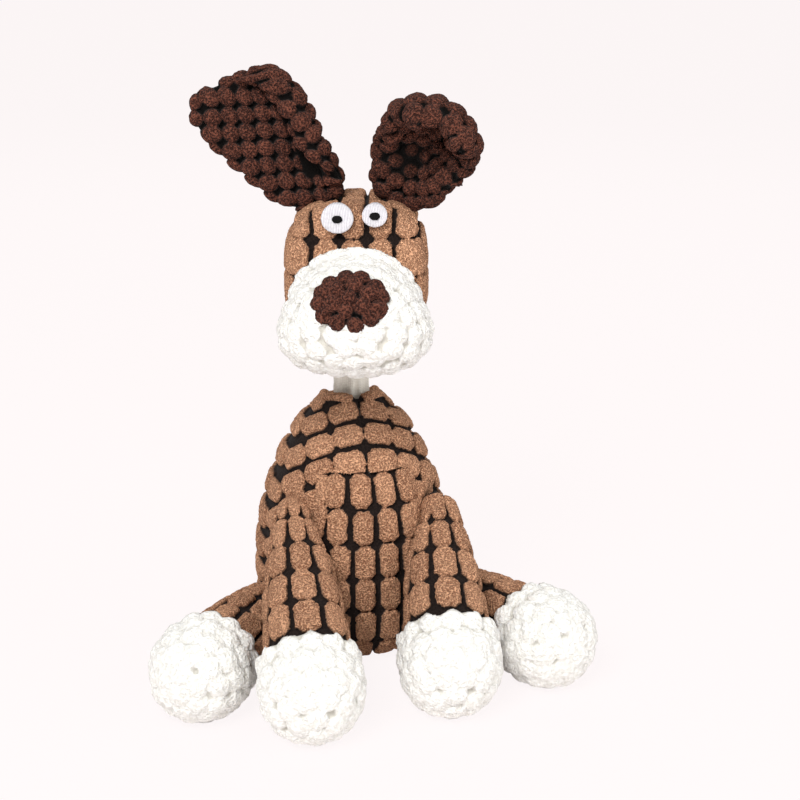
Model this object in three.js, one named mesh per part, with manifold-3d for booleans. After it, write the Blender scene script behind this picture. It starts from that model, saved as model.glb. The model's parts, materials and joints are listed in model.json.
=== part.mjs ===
// A sitting plush dog that squeaks: a stuffed torso of three sewn panels, a head on a short cloth neck, two
// double layered ears, four stuffed legs, and a bellows squeaker packed between two wads of stuffing.
// Millimetres, +Z up. The toy faces -Y. The origin is on the floor, under the torso's upright axis.
// Right and left are the toy's own sides: its right is at -X.

import * as THREE from 'three';
import { mergeVertices } from 'three/addons/utils/BufferGeometryUtils.js';
import Module from 'manifold-3d';

const wasm = await Module();
wasm.setup();

// Cloth and clearances
const PLUSH = 3.5; // one layer of plush, backing and pile together
const NECK_CLOTH = 1.4;
const EMBROIDERY = 1.2;
const SEAM_GAP = 0.3; // between pieces that are sewn together or packed against each other
const JOINT_GAP = 0.8; // in a rounded seam that turns
const BALL_MARGIN = 0.1; // round a leg's root ball, which keeps its skin where the torso is cut away
const FLOOR_PRESS = 0.5; // how far a round paw is pressed flat

// Torso
const TORSO_RADIUS = 49;
const TORSO_WIDEST_Z = 44;
const TORSO_HEIGHT = 129;
const COLLAR_RADIUS = 13.5; // where the torso ends at the neck
const SEAT_RADIUS = 30; // flat disc that rests on the floor
const TORSO_DOME_POWER = 1.8;
const TORSO_SEAT_POWER = 4;

// Belly panel, seen from the front
const BELLY_TOP_Z = 97;
const BELLY_TOP_HALF_WIDTH = 23;
const BELLY_FOOT_HALF_WIDTH = 31;
const BELLY_CORNER = 9;
const BELLY_BACK = 10; // how far the panel runs under the seat, behind the torso's axis

// Blocks of pile on the torso, in rows with grooves between them: lying on the sides, upright on the belly
const BLOCK_LENGTH = 16.8;
const BLOCK_WIDTH = 13;
const BLOCK_BEVEL = 2.4; // from a block's foot in to its top
const GROOVE_DEPTH = 2.5; // of the plush's thickness
const ROW_DROP = 28.7; // how far a row falls from the chest towards the side, where the torso is widest
const ROW_LEVEL_ANGLE = 77; // degrees from straight ahead, past which a row runs level
const BELLY_BLOCKS_ASIDE = 2; // the belly's columns lie a little off the middle

// Neck
const NECK_RADIUS = 8.3;
const NECK_LENGTH = 25; // free cloth between the collar and the head's underside
const NECK_TUCK = 8; // how far the sleeve is sewn into the head
const NECK_BALL_RADIUS = 10; // gathered lower end, which turns in the collar
const NECK_BALL_DROP = 3; // the ball's centre below the collar's edge

// Head, seen from the front
const HEAD_HALF_WIDTH = 33.5;
const HEAD_HALF_HEIGHT = 37;
const HEAD_HALF_DEPTH = 28.5;
const HEAD_FORWARD = 13.5; // the head's middle in front of the neck
const HEAD_ASIDE = 3.3; // the head is sewn on a little off the neck's axis
const HEAD_TURN = -14; // degrees about the neck: the toy looks over its right paw
const HEAD_FACE_POWER = 3.2;
const HEAD_DEPTH_POWER = 6.5;

// Muzzle, an egg that stands out of the head
const MUZZLE_HALF_WIDTH = 33.5;
const MUZZLE_HALF_HEIGHT = 28;
const MUZZLE_DROP = 13; // its middle below the head's middle
const MUZZLE_WIDEST_FORWARD = 33; // its widest section in front of the head's middle
const MUZZLE_REACH = 34; // from the widest section to the tip
const MUZZLE_BACK = 20; // from the widest section back into the head
const MUZZLE_JOWL = 0.2; // how much wider it is below than above
const MUZZLE_POWER = 2.25;

// Nose and eyes, on the muzzle and the face
const NOSE_HALF_WIDTH = 16.5;
const NOSE_HALF_HEIGHT = 11.8;
const NOSE_RISE = 14.5; // above the muzzle's middle
const NOSE_ASIDE = -1.8;
const NOSE_PLUSH = 3;
const RIGHT_EYE_RADIUS = 7.4;
const RIGHT_EYE_ASIDE = -7.8;
const RIGHT_EYE_RISE = 28.4; // above the head's middle
const LEFT_EYE_RADIUS = 5.8;
const LEFT_EYE_ASIDE = 9;
const LEFT_EYE_RISE = 29.8;
const PUPIL_HALF_WIDTH = 2.6;
const PUPIL_HALF_HEIGHT = 1.9;
const PUPIL_STITCH = 0.6;

// Ears: one flat pattern, shaped two ways
const RIGHT_EAR_LENGTH = 62;
const LEFT_EAR_LENGTH = 78; // its end is curled in
const RIGHT_EAR_BASE_WIDTH = 29;
const LEFT_EAR_BASE_WIDTH = 25; // gathered at its root
const EAR_TIP_WIDTH = 55;
const RIGHT_EAR_FLAP = 9; // how much wider the pattern is on the side that is rolled or drawn in
const LEFT_EAR_FLAP = 14;
const EAR_ROUNDING = 18; // length over which the end narrows
const EAR_END_SHARE = 0.62; // width left at the very end
const EAR_ROOT_DEPTH = 6; // cloth below the hinge line, trimmed to the crown
const EAR_ROOT_BACK = 1.5; // the hinge line in front of the head's middle
const EAR_LIFT = 1.5; // the hinge line above the crown
const EAR_BEAD_RADIUS = 3.6; // rolled hem that turns in the crown
const EAR_BEAD_LENGTH = 16;
const EAR_CLEARANCE = 2.7; // between the trimmed cloth and the crown, for the swing
const RIGHT_EAR_ASIDE = -19.5;
const LEFT_EAR_ASIDE = 19.5;
const RIGHT_EAR_LEAN = -13; // degrees off the crown's upright there
const LEFT_EAR_LEAN = 3;
const FOLD_ROLL = 180; // degrees that the right ear's inner edge rolls forward
const FOLD_INSIDE = 13; // where the roll starts, inside half the ear's width
const FOLD_ARC = 17; // cloth that the roll takes up
const FOLD_FROM = -10; // lengths up the ear between which the roll sets in
const FOLD_TO = 30;
const FOLD_HOLLOW = 22; // degrees that the rest of the ear is dished
const CUP_RADIUS = 21; // the left ear's bowl
const CUP_CENTRE = 31; // the bowl's bottom, up the ear
const CUP_ASIDE = 0.35; // the bowl's outer side is drawn in more
const CUP_OPEN_FROM = -1; // where the bowl runs out towards the root, as a share of its radius
const CUP_OPEN_TO = -0.15;
const CUP_NOD = 14; // degrees that the bowl tips forward

// Legs
const SHOULDER_Z = 76;
const SHOULDER_ANGLE = 52; // degrees round the torso from straight ahead
const SHOULDER_RADIUS = 10.5;
const FRONT_CUFF_RADIUS = 20.5;
const FRONT_PAW_RADIUS = 23.5;
const RIGHT_FRONT_LENGTH = 93; // shoulder to paw centre; the two legs are stuffed unevenly
const LEFT_FRONT_LENGTH = 86;
const RIGHT_FRONT_TOE = 5; // degrees that the leg points outwards
const LEFT_FRONT_TOE = -9;
const FRONT_LIFT = 45; // degrees that a front leg can be lifted, with room for its root against the chest
const HIP_Z = 24;
const HIP_ANGLE = 76;
const HIP_RADIUS = 14;
const HIND_CUFF_RADIUS = 19.5;
const HIND_PAW_RADIUS = 23;
const HIND_LENGTH = 72;
const PAW_CLEARANCE = 9; // between a hind paw and the front paw beside it
const FRONT_PAW_LENGTH = 20; // cuff to paw centre
const HIND_PAW_LENGTH = 20;

// Squeaker, along its own axis, which lies front to back in the belly
const SQUEAKER_Z = 57;
const SQUEAKER_FORWARD = 2;
const SQUEAKER_RADIUS = 24;
const SQUEAKER_HEIGHT = 24;
const SQUEAKER_WALL = 1.2;
const SQUEAKER_ROUND = 3.5;
const DISH_DEPTH = 6;
const PLEAT_COUNT = 2;
const PLEAT_DEPTH = 4;
const WHISTLE_RADIUS = 4.9;
const WHISTLE_BORE = 2.4;
const WHISTLE_LENGTH = 8;
const FLANGE_RADIUS = 7.5;
const FLANGE_THICKNESS = 1.6;
const REED_WIDTH = 4;
const REED_THICKNESS = 0.5;
const REED_LENGTH = 6;

// Facets
const TORSO_FACETS = 20;
const TORSO_RINGS = 10;
const TORSO_INNER_FACETS = 16;
const TORSO_INNER_RINGS = 8;
const GROOVE_FACETS = 20;
const ROW_STEPS = 24;
const LEG_FACETS = 16;
const BALL_RINGS = 4;
const BALL_INNER_RINGS = 2;
const SLEEVE_RINGS = 4;
const SLEEVE_INNER_RINGS = 2;
const HEAD_FACETS = 24;
const HEAD_RINGS = 10;
const HEAD_INNER_RINGS = 5;
const SQUEAKER_FACETS = 18;
const SQUEAKER_ROUND_STEPS = 2;
const NECK_FACETS = 16;
const EAR_PLAIN_COLUMNS = 4;
const EAR_FLAP_COLUMNS = 8;
const EAR_ROWS = 10;
const CURL_STEPS = 40;
const LIFT_STEPS = 3;
const TRIM_FACETS = 12;
const SLOPE_STEP = 1; // over which a curve's slope is measured
const FAR = 400; // larger than the toy, for cutting tools

// Colours from the toy itself
const BROWN_PLUSH = { color: 0x9c7551, roughness: 0.95 };
const WHITE_PLUSH = { color: 0xefeae4, roughness: 0.95 };
const DARK_PLUSH = { color: 0x5b3527, roughness: 0.95 };
const CREAM_CLOTH = { color: 0xd9cfc0, roughness: 0.9 };
const WHITE_THREAD = { color: 0xf3f1f0, roughness: 0.55 };
const BLACK_THREAD = { color: 0x17120f, roughness: 0.55 };
const FIBRE = { color: 0xf4f2ec, roughness: 1 };
const CLEAR_PLASTIC = { color: 0xe4e6e2, roughness: 0.35 };
const REED_PLASTIC = { color: 0xc9c4b4, roughness: 0.4 };

const radians = THREE.MathUtils.degToRad;
const lerp = THREE.MathUtils.lerp;
const SIDEWAYS = new THREE.Vector3(1, 0, 0); // along an ear's hinge line, or a shoulder's

/** A signed power, for the rounded squares that stuffed forms fill. */
function signedPower(value, power) {
  return Math.sign(value) * Math.abs(value) ** power;
}

/** A closed geometry as a solid, moved by a matrix if one is given, with its faces turned outwards. */
function solid(geometry, matrix = new THREE.Matrix4()) {
  const bare = geometry.clone();
  bare.deleteAttribute('normal');
  bare.deleteAttribute('uv');
  bare.applyMatrix4(matrix);
  const merged = mergeVertices(bare);
  const corner = merged.index.array;
  const point = merged.attributes.position.array;
  const triangles = [];
  let volume = 0;
  for (let i = 0; i < corner.length; i += 3) {
    const [a, b, c] = corner.slice(i, i + 3);
    if (a === b || b === c || c === a) continue;
    triangles.push(a, b, c);
    const [p, q, r] = [a, b, c].map((k) => new THREE.Vector3().fromArray(point, 3 * k));
    volume += p.dot(q.cross(r));
  }
  if (volume < 0) triangles.reverse();
  return new wasm.Manifold(
    new wasm.Mesh({
      numProp: 3,
      vertProperties: new Float32Array(point),
      triVerts: new Uint32Array(triangles),
    }),
  );
}

/** A named mesh of a solid, hung in its group. */
function piece(group, name, body, finish) {
  const { vertProperties, triVerts } = body.getMesh();
  const geometry = new THREE.BufferGeometry();
  geometry.setAttribute('position', new THREE.BufferAttribute(vertProperties, 3));
  geometry.setIndex(new THREE.BufferAttribute(triVerts, 1));
  geometry.computeVertexNormals();
  const mesh = new THREE.Mesh(geometry, new THREE.MeshStandardMaterial({ ...finish, metalness: 0 }));
  mesh.name = name;
  group.add(mesh);
}

/** A turned form about Z from points (radius, height). */
function turned(points, facets) {
  return new THREE.LatheGeometry(points, facets).rotateX(Math.PI / 2);
}

/** A round bar along Z between two heights. */
function bar(radius, low, high, facets) {
  return turned(
    [
      new THREE.Vector2(0, low),
      new THREE.Vector2(radius, low),
      new THREE.Vector2(radius, high),
      new THREE.Vector2(0, high),
    ],
    facets,
  );
}

/** A box that holds everything above a height, or below it. */
function above(z) {
  return new THREE.BoxGeometry(FAR, FAR, FAR).translate(0, 0, z + FAR / 2);
}
function below(z) {
  return new THREE.BoxGeometry(FAR, FAR, FAR).translate(0, 0, z - FAR / 2);
}

/** A closed skin through rings of points, with a tip point at each end. */
function loft(rings, firstTip, lastTip) {
  const count = rings[0].length;
  const points = [firstTip, ...rings.flat(), lastTip];
  const last = points.length - 1;
  const faces = [];
  for (let j = 0; j < count; j++) {
    const k = (j + 1) % count;
    faces.push(0, 1 + k, 1 + j);
    for (let i = 0; i + 1 < rings.length; i++) {
      const [a, b] = [1 + i * count, 1 + (i + 1) * count];
      faces.push(a + j, a + k, b + j, a + k, b + k, b + j);
    }
    faces.push(last, last - count + j, last - count + k);
  }
  return new THREE.BufferGeometry().setFromPoints(points).setIndex(faces);
}

/** A closed slab between two grids of points with the same rows and columns. */
function slab(front, back) {
  const [rows, columns] = [front.length, front[0].length];
  const size = rows * columns;
  const faces = [];
  const quad = (a, b, c, d) => faces.push(a, b, c, a, c, d);
  const at = (i, j) => i * columns + j;
  for (let i = 0; i + 1 < rows; i++) {
    for (let j = 0; j + 1 < columns; j++) {
      quad(at(i, j), at(i, j + 1), at(i + 1, j + 1), at(i + 1, j));
      quad(size + at(i, j), size + at(i + 1, j), size + at(i + 1, j + 1), size + at(i, j + 1));
    }
    const right = columns - 1;
    quad(at(i, 0), at(i + 1, 0), size + at(i + 1, 0), size + at(i, 0));
    quad(at(i, right), size + at(i, right), size + at(i + 1, right), at(i + 1, right));
  }
  for (let j = 0; j + 1 < columns; j++) {
    const top = rows - 1;
    quad(at(0, j), size + at(0, j), size + at(0, j + 1), at(0, j + 1));
    quad(at(top, j), at(top, j + 1), size + at(top, j + 1), size + at(top, j));
  }
  return new THREE.BufferGeometry().setFromPoints([...front.flat(), ...back.flat()]).setIndex(faces);
}

// Torso

/** The torso's radius at a height: a dome above its widest place and a rounder seat below it. */
function torsoRadius(z) {
  const up = z > TORSO_WIDEST_Z;
  const end = up ? COLLAR_RADIUS : SEAT_RADIUS;
  const span = up ? TORSO_HEIGHT - TORSO_WIDEST_Z : TORSO_WIDEST_Z;
  const power = up ? TORSO_DOME_POWER : TORSO_SEAT_POWER;
  const root = up ? TORSO_DOME_POWER : 2;
  const share = Math.min(1, Math.abs(z - TORSO_WIDEST_Z) / span) ** power;
  return lerp(TORSO_RADIUS ** root, end ** root, share) ** (1 / root);
}

/** The torso's side at a height, as (radius, height), moved out by a distance. */
function torsoSide(z, out) {
  const [low, high] = [Math.max(z - SLOPE_STEP, 0), Math.min(z + SLOPE_STEP, TORSO_HEIGHT)];
  const normal = new THREE.Vector2(high - low, torsoRadius(low) - torsoRadius(high)).normalize();
  return new THREE.Vector2(torsoRadius(z), z).addScaledVector(normal, out);
}

/** The torso as one plain turned form, round its skin by a distance, or within it where that is negative. */
function torsoForm(out) {
  const [rings, facets] = out < 0 ? [TORSO_INNER_RINGS, TORSO_INNER_FACETS] : [TORSO_RINGS, TORSO_FACETS];
  const side = [];
  for (let i = 0; i <= rings; i++) {
    side.push(torsoSide((TORSO_HEIGHT * (1 - Math.cos((Math.PI * i) / rings))) / 2, out));
  }
  const [foot, collar] = [side[0], side[rings]];
  const crown = new THREE.Vector2(collar.x, TORSO_HEIGHT + Math.abs(out) + SEAM_GAP);
  const form = turned([new THREE.Vector2(0, foot.y), ...side, crown, new THREE.Vector2(0, crown.y)], facets);
  const around = out < 0 ? 1 : 1 / Math.cos(Math.PI / facets);
  return form.scale(around, around, 1);
}

/** A point on the torso's skin, by its height and its angle from straight ahead (side -1 right, 1 left). */
function onTorso(z, angle, side) {
  const radius = torsoRadius(z);
  return new THREE.Vector3(side * radius * Math.sin(radians(angle)), -radius * Math.cos(radians(angle)), z);
}

const SIDE_ROWS = { height: BLOCK_WIDTH, length: BLOCK_LENGTH, drop: ROW_DROP };
const BELLY_ROWS = { height: BLOCK_LENGTH, length: BLOCK_WIDTH, drop: 0 };

/** The height on the chest at a run up from the belly panel's top, or down where it is negative. */
function chestHeight(run) {
  const step = Math.sign(run) * SLOPE_STEP;
  let [z, left] = [BELLY_TOP_Z, Math.abs(run)];
  while (left > 0) {
    const at = Math.min(z, TORSO_HEIGHT - SLOPE_STEP);
    const length = Math.hypot(step, torsoRadius(at + step) - torsoRadius(at));
    z += step * Math.min(1, left / length);
    left -= length;
  }
  return z;
}

/** A point of a row: by its height on the chest, its angle from straight ahead and its depth in the plush. */
function rowPoint(rows, chest, angle, depth) {
  const level = 1 - Math.cos(radians(ROW_LEVEL_ANGLE));
  const fall = (Math.min(1, (1 - Math.cos(angle)) / level) * torsoRadius(chest)) / TORSO_RADIUS;
  const side = torsoSide(chest - rows.drop * fall, -depth);
  return new THREE.Vector3(side.x * Math.sin(angle), -side.x * Math.cos(angle), side.y);
}

/** A point's angle from straight ahead, once round by the left. */
function turnOf(point) {
  return THREE.MathUtils.euclideanModulo(Math.atan2(point.x, -point.y), 2 * Math.PI);
}

/** Where a row's blocks begin, rise and end: angles once round, and whether a groove is there. */
function blockEdges(rows, chest) {
  const line = [];
  for (let i = 0; i <= ROW_STEPS; i++) line.push(rowPoint(rows, chest, (Math.PI * i) / ROW_STEPS, 0));
  const row = new THREE.CatmullRomCurve3(line);
  const count = Math.max(1, Math.round(row.getLength() / rows.length));
  const bevel = BLOCK_BEVEL / row.getLength();
  const half = [];
  for (let k = 0; k < count; k++) {
    for (const share of [k / count, k / count + bevel, (k + 1) / count - bevel]) {
      half.push({ angle: turnOf(row.getPointAt(share)), groove: share === k / count });
    }
  }
  const back = half.slice(1).reverse();
  const mirrored = back.map(({ angle, groove }) => ({ angle: 2 * Math.PI - angle, groove }));
  return [...half, { angle: Math.PI, groove: true }, ...mirrored];
}

/** The rings of points of all rows, from below the floor to above the collar. */
function blockRings(rows) {
  const rings = [];
  const groove = (run) => {
    const chest = chestHeight(run);
    const ring = [];
    for (let j = 0; j < GROOVE_FACETS; j++) {
      ring.push(rowPoint(rows, chest, (2 * Math.PI * j) / GROOVE_FACETS, GROOVE_DEPTH));
    }
    rings.push(ring);
  };
  const first = Math.floor(-(BELLY_TOP_Z + TORSO_RADIUS) / rows.height);
  let run = first * rows.height;
  while (chestHeight(run) - rows.drop < TORSO_HEIGHT) {
    groove(run);
    const edges = blockEdges(rows, chestHeight(run + rows.height / 2));
    for (const edge of [run + BLOCK_BEVEL, run + rows.height - BLOCK_BEVEL]) {
      const chest = chestHeight(edge);
      rings.push(edges.map((at) => rowPoint(rows, chest, at.angle, at.groove ? GROOVE_DEPTH : 0)));
    }
    run += rows.height;
  }
  groove(run);
  return rings;
}

/** A closed skin through rings of points that start straight ahead, whatever the rings' counts. */
function stitched(rings) {
  const turn = (ring, i) => (i < ring.length ? turnOf(ring[i]) : 2 * Math.PI);
  const [low, high] = [rings[0], rings.at(-1)];
  const foot = new THREE.Vector3(0, 0, Math.min(...low.map((point) => point.z)));
  const tip = new THREE.Vector3(0, 0, Math.max(...high.map((point) => point.z)));
  const points = [foot, ...rings.flat(), tip];
  const faces = [];
  low.forEach((_, i) => faces.push(0, 1 + ((i + 1) % low.length), 1 + i));
  let start = 1;
  for (let k = 0; k + 1 < rings.length; k++) {
    const [a, b] = [rings[k], rings[k + 1]];
    const atA = (i) => start + (i % a.length);
    const atB = (j) => start + a.length + (j % b.length);
    let [i, j] = [0, 0];
    while (i < a.length || j < b.length) {
      if (j === b.length || (i < a.length && turn(a, i + 1) <= turn(b, j + 1))) {
        faces.push(atA(i), atA(i + 1), atB(j));
        i += 1;
      } else {
        faces.push(atA(i), atB(j + 1), atB(j));
        j += 1;
      }
    }
    start += a.length;
  }
  high.forEach((_, j) => faces.push(points.length - 1, start + j, start + ((j + 1) % high.length)));
  return new THREE.BufferGeometry().setFromPoints(points).setIndex(faces);
}

/** The belly panel's outline from the front, pushed through the front half of the torso. */
function bellyCutter(out) {
  const [top, foot] = [BELLY_TOP_HALF_WIDTH + out, BELLY_FOOT_HALF_WIDTH + out];
  const outline = new THREE.Shape();
  outline.moveTo(-foot, -FAR);
  outline.lineTo(foot, -FAR);
  outline.lineTo(foot, 0);
  outline.lineTo(top, BELLY_TOP_Z + out - BELLY_CORNER);
  outline.quadraticCurveTo(top, BELLY_TOP_Z + out, top - BELLY_CORNER, BELLY_TOP_Z + out);
  outline.lineTo(BELLY_CORNER - top, BELLY_TOP_Z + out);
  outline.quadraticCurveTo(-top, BELLY_TOP_Z + out, -top, BELLY_TOP_Z + out - BELLY_CORNER);
  outline.lineTo(-foot, 0);
  outline.closePath();
  const block = new THREE.ExtrudeGeometry(outline, { depth: FAR, bevelEnabled: false, curveSegments: 6 });
  return block.rotateX(Math.PI / 2).translate(0, BELLY_BACK + out, 0);
}

/** A box on one side of the middle plane (-1 right, 1 left), half a seam away from it. */
function sideOfMiddle(side) {
  return new THREE.BoxGeometry(FAR, FAR, FAR).translate((side * (FAR + SEAM_GAP)) / 2, 0, 0);
}

/** A box in front of the squeaker's middle (-1) or behind it (1), half a seam away from it. */
function sideOfSqueaker(side) {
  const middle = -SQUEAKER_FORWARD + (side * (FAR + SEAM_GAP)) / 2;
  return new THREE.BoxGeometry(FAR, FAR, FAR).translate(0, middle, 0);
}

// Legs

/** A leg's skin from the pole of its root ball to its cuff, moved in by a distance. */
function sleeveCurve(leg, inset) {
  const ballRings = inset > 0 ? BALL_INNER_RINGS : BALL_RINGS;
  const sleeveRings = inset > 0 ? SLEEVE_INNER_RINGS : SLEEVE_RINGS;
  const points = [];
  for (let i = 0; i < ballRings; i++) {
    const angle = (i / ballRings) * (Math.PI / 2);
    const radius = leg.rootRadius - inset;
    points.push(new THREE.Vector2(radius * Math.sin(angle), -radius * Math.cos(angle)));
  }
  for (let i = 0; i <= sleeveRings; i++) {
    const along = i / sleeveRings;
    const swell = Math.sin((along * Math.PI) / 2);
    const radius = lerp(leg.rootRadius, leg.cuffRadius, swell) - inset;
    points.push(new THREE.Vector2(radius, along * (leg.length - leg.pawLength - SEAM_GAP / 2)));
  }
  return points;
}

/** A leg's skin from its cuff to the end of its paw, moved in by a distance. */
function pawCurve(leg, inset) {
  const rings = inset > 0 ? BALL_INNER_RINGS : BALL_RINGS;
  const points = [];
  const cuff = leg.length - leg.pawLength + SEAM_GAP / 2;
  for (let i = 0; i < rings; i++) {
    const along = i / rings;
    const radius = lerp(leg.cuffRadius, leg.pawRadius, Math.sin((along * Math.PI) / 2)) - inset;
    points.push(new THREE.Vector2(radius, lerp(cuff, leg.length, along)));
  }
  for (let i = 0; i <= rings; i++) {
    const angle = (i / rings) * (Math.PI / 2);
    const radius = leg.pawRadius - inset;
    points.push(new THREE.Vector2(radius * Math.cos(angle), leg.length + radius * Math.sin(angle)));
  }
  points.at(-1).x = 0;
  return points;
}

/** The ball at a leg's root, grown by a distance. */
function rootBall(leg, out) {
  const radius = leg.rootRadius + out;
  const points = [];
  for (let i = 0; i <= 2 * BALL_RINGS; i++) {
    const angle = (i / BALL_RINGS - 1) * (Math.PI / 2);
    points.push(new THREE.Vector2(radius * Math.cos(angle), radius * Math.sin(angle)));
  }
  points[0].x = 0;
  points.at(-1).x = 0;
  return turned(points, LEG_FACETS);
}

/** A leg's group: its origin at the root ball, its Z along the leg. */
function legGroup(root, paw) {
  const group = new THREE.Group();
  group.position.copy(root);
  group.quaternion.setFromUnitVectors(new THREE.Vector3(0, 0, 1), paw.clone().sub(root).normalize());
  group.updateMatrixWorld();
  return group;
}

/** Where a front paw's centre rests: down to the floor, and forward by what is left of the leg's length. */
function frontPawCentre(root, length, toe, side) {
  const drop = FRONT_PAW_RADIUS - FLOOR_PRESS - root.z;
  const run = Math.sqrt(length ** 2 - drop ** 2);
  const aside = side * run * Math.sin(radians(toe));
  return new THREE.Vector3(aside, -run * Math.cos(radians(toe)), drop).add(root);
}

/** Where a hind paw's centre rests: a leg's length from the hip, and clear of the front paw beside it. */
function hindPawCentre(root, frontPaw, side) {
  const drop = HIND_PAW_RADIUS - FLOOR_PRESS - root.z;
  const run = Math.sqrt(HIND_LENGTH ** 2 - drop ** 2);
  const apart = FRONT_PAW_RADIUS + HIND_PAW_RADIUS + PAW_CLEARANCE;
  const between = new THREE.Vector2(frontPaw.x - root.x, frontPaw.y - root.y);
  const distance = between.length();
  const turn = Math.acos((run ** 2 + distance ** 2 - apart ** 2) / (2 * run * distance));
  const heading = between.angle() + side * turn;
  return new THREE.Vector3(run * Math.cos(heading), run * Math.sin(heading), drop).add(root);
}

/** Where a leg has no room, at rest or lifted: inside the torso, but for the socket of its own root ball. */
function torsoSweep(leg) {
  const home = leg.group.matrixWorld.clone().invert();
  const axis = SIDEWAYS.clone().transformDirection(home);
  let sweep = solid(torsoForm(JOINT_GAP), home);
  for (let i = 1; leg.lift > 0 && i <= LIFT_STEPS; i++) {
    const turn = new THREE.Matrix4().makeRotationAxis(axis, (radians(leg.lift) * i) / LIFT_STEPS);
    sweep = sweep.add(solid(torsoForm(JOINT_GAP), turn.multiply(home)));
  }
  return sweep.subtract(solid(rootBall(leg, BALL_MARGIN)));
}

/** A sleeve, a paw cover and stuffing, cut to lie against the torso round the root ball. */
function buildLeg(toy, leg) {
  const skin = (inset) => [sleeveCurve(leg, inset), pawCurve(leg, inset)];
  const [sleeveOuter, pawOuter] = skin(0);
  const [sleeveInner, pawInner] = skin(PLUSH);
  const stuffing = skin(PLUSH + SEAM_GAP).flat();
  const torso = torsoSweep(leg);
  const floor = solid(below(0), leg.group.matrixWorld.clone().invert());
  const fit = (points) => solid(turned(points, LEG_FACETS)).subtract(torso).subtract(floor);
  piece(leg.group, `${leg.name}_leg_sleeve`, fit([...sleeveOuter, ...sleeveInner.reverse()]), BROWN_PLUSH);
  piece(leg.group, `${leg.name}_paw`, fit([...pawInner.reverse(), ...pawOuter]), WHITE_PLUSH);
  piece(leg.group, `${leg.name}_leg_stuffing`, fit(stuffing), FIBRE);
  toy.add(leg.group);
}

/** The four legs: where they hang on the torso, where their paws rest, and their sizes. */
function planLegs() {
  const legs = [];
  for (const [side, hand] of [[-1, 'right'], [1, 'left']]) {
    const shoulder = onTorso(SHOULDER_Z, SHOULDER_ANGLE, side);
    const length = side < 0 ? RIGHT_FRONT_LENGTH : LEFT_FRONT_LENGTH;
    const toe = side < 0 ? RIGHT_FRONT_TOE : LEFT_FRONT_TOE;
    const frontPaw = frontPawCentre(shoulder, length, toe, side);
    legs.push({
      name: `${hand}_front`,
      group: legGroup(shoulder, frontPaw),
      lift: FRONT_LIFT,
      length,
      rootRadius: SHOULDER_RADIUS,
      cuffRadius: FRONT_CUFF_RADIUS,
      pawRadius: FRONT_PAW_RADIUS,
      pawLength: FRONT_PAW_LENGTH,
    });
    const hip = onTorso(HIP_Z, HIP_ANGLE, side);
    legs.push({
      name: `${hand}_hind`,
      group: legGroup(hip, hindPawCentre(hip, frontPaw, side)),
      lift: 0,
      length: HIND_LENGTH,
      rootRadius: HIP_RADIUS,
      cuffRadius: HIND_CUFF_RADIUS,
      pawRadius: HIND_PAW_RADIUS,
      pawLength: HIND_PAW_LENGTH,
    });
  }
  return legs;
}

// Squeaker: Z is its own axis, with the whistle at the lower end

const HALF_SQUEAKER = SQUEAKER_HEIGHT / 2;

/** Half of the bulb, from its rim to its end, with a hole of a given radius in the end. */
function dish(hole) {
  const rim = HALF_SQUEAKER - DISH_DEPTH;
  const corner = SQUEAKER_RADIUS - SQUEAKER_ROUND;
  const shoulder = HALF_SQUEAKER - SQUEAKER_ROUND;
  const outline = new THREE.Path();
  outline.moveTo(hole, HALF_SQUEAKER);
  outline.lineTo(corner, HALF_SQUEAKER);
  outline.absarc(corner, shoulder, SQUEAKER_ROUND, Math.PI / 2, 0, true);
  outline.lineTo(SQUEAKER_RADIUS, rim);
  outline.lineTo(SQUEAKER_RADIUS - SQUEAKER_WALL, rim);
  outline.absarc(corner, shoulder, SQUEAKER_ROUND - SQUEAKER_WALL, 0, Math.PI / 2, false);
  outline.lineTo(hole, HALF_SQUEAKER - SQUEAKER_WALL);
  if (hole > 0) outline.closePath();
  return turned(outline.getPoints(SQUEAKER_ROUND_STEPS), SQUEAKER_FACETS);
}

/** The folded wall between the two dishes, which gives when the belly is pressed. */
function bellows() {
  const half = HALF_SQUEAKER - DISH_DEPTH - SEAM_GAP;
  const wall = [];
  for (let i = 0; i <= 2 * PLEAT_COUNT; i++) {
    const inward = (i % 2) * PLEAT_DEPTH;
    wall.push(new THREE.Vector2(SQUEAKER_RADIUS - inward, lerp(-half, half, i / (2 * PLEAT_COUNT))));
  }
  const inner = wall.map((point) => new THREE.Vector2(point.x - SQUEAKER_WALL, point.y)).reverse();
  return turned([...wall, ...inner, wall[0]], SQUEAKER_FACETS);
}

/** The whistle plug: a flange outside the bulb and a bored barrel inside it. */
function whistle() {
  const seat = -HALF_SQUEAKER - SEAM_GAP;
  const end = seat - FLANGE_THICKNESS;
  const tip = seat + WHISTLE_LENGTH;
  const outline = [
    [WHISTLE_BORE, end],
    [FLANGE_RADIUS, end],
    [FLANGE_RADIUS, seat],
    [WHISTLE_RADIUS, seat],
    [WHISTLE_RADIUS, tip],
    [WHISTLE_BORE, tip],
    [WHISTLE_BORE, end],
  ];
  return turned(outline.map(([radius, z]) => new THREE.Vector2(radius, z)), SQUEAKER_FACETS);
}

/** The space that the squeaker takes in the stuffing. */
function squeakerPocket(matrix) {
  const bulb = bar(
    SQUEAKER_RADIUS + SEAM_GAP,
    -HALF_SQUEAKER - SEAM_GAP,
    HALF_SQUEAKER + SEAM_GAP,
    SQUEAKER_FACETS,
  );
  const flange = bar(
    FLANGE_RADIUS + SEAM_GAP,
    -HALF_SQUEAKER - FLANGE_THICKNESS - 2 * SEAM_GAP,
    0,
    SQUEAKER_FACETS,
  );
  return solid(bulb, matrix).add(solid(flange, matrix));
}

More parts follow.
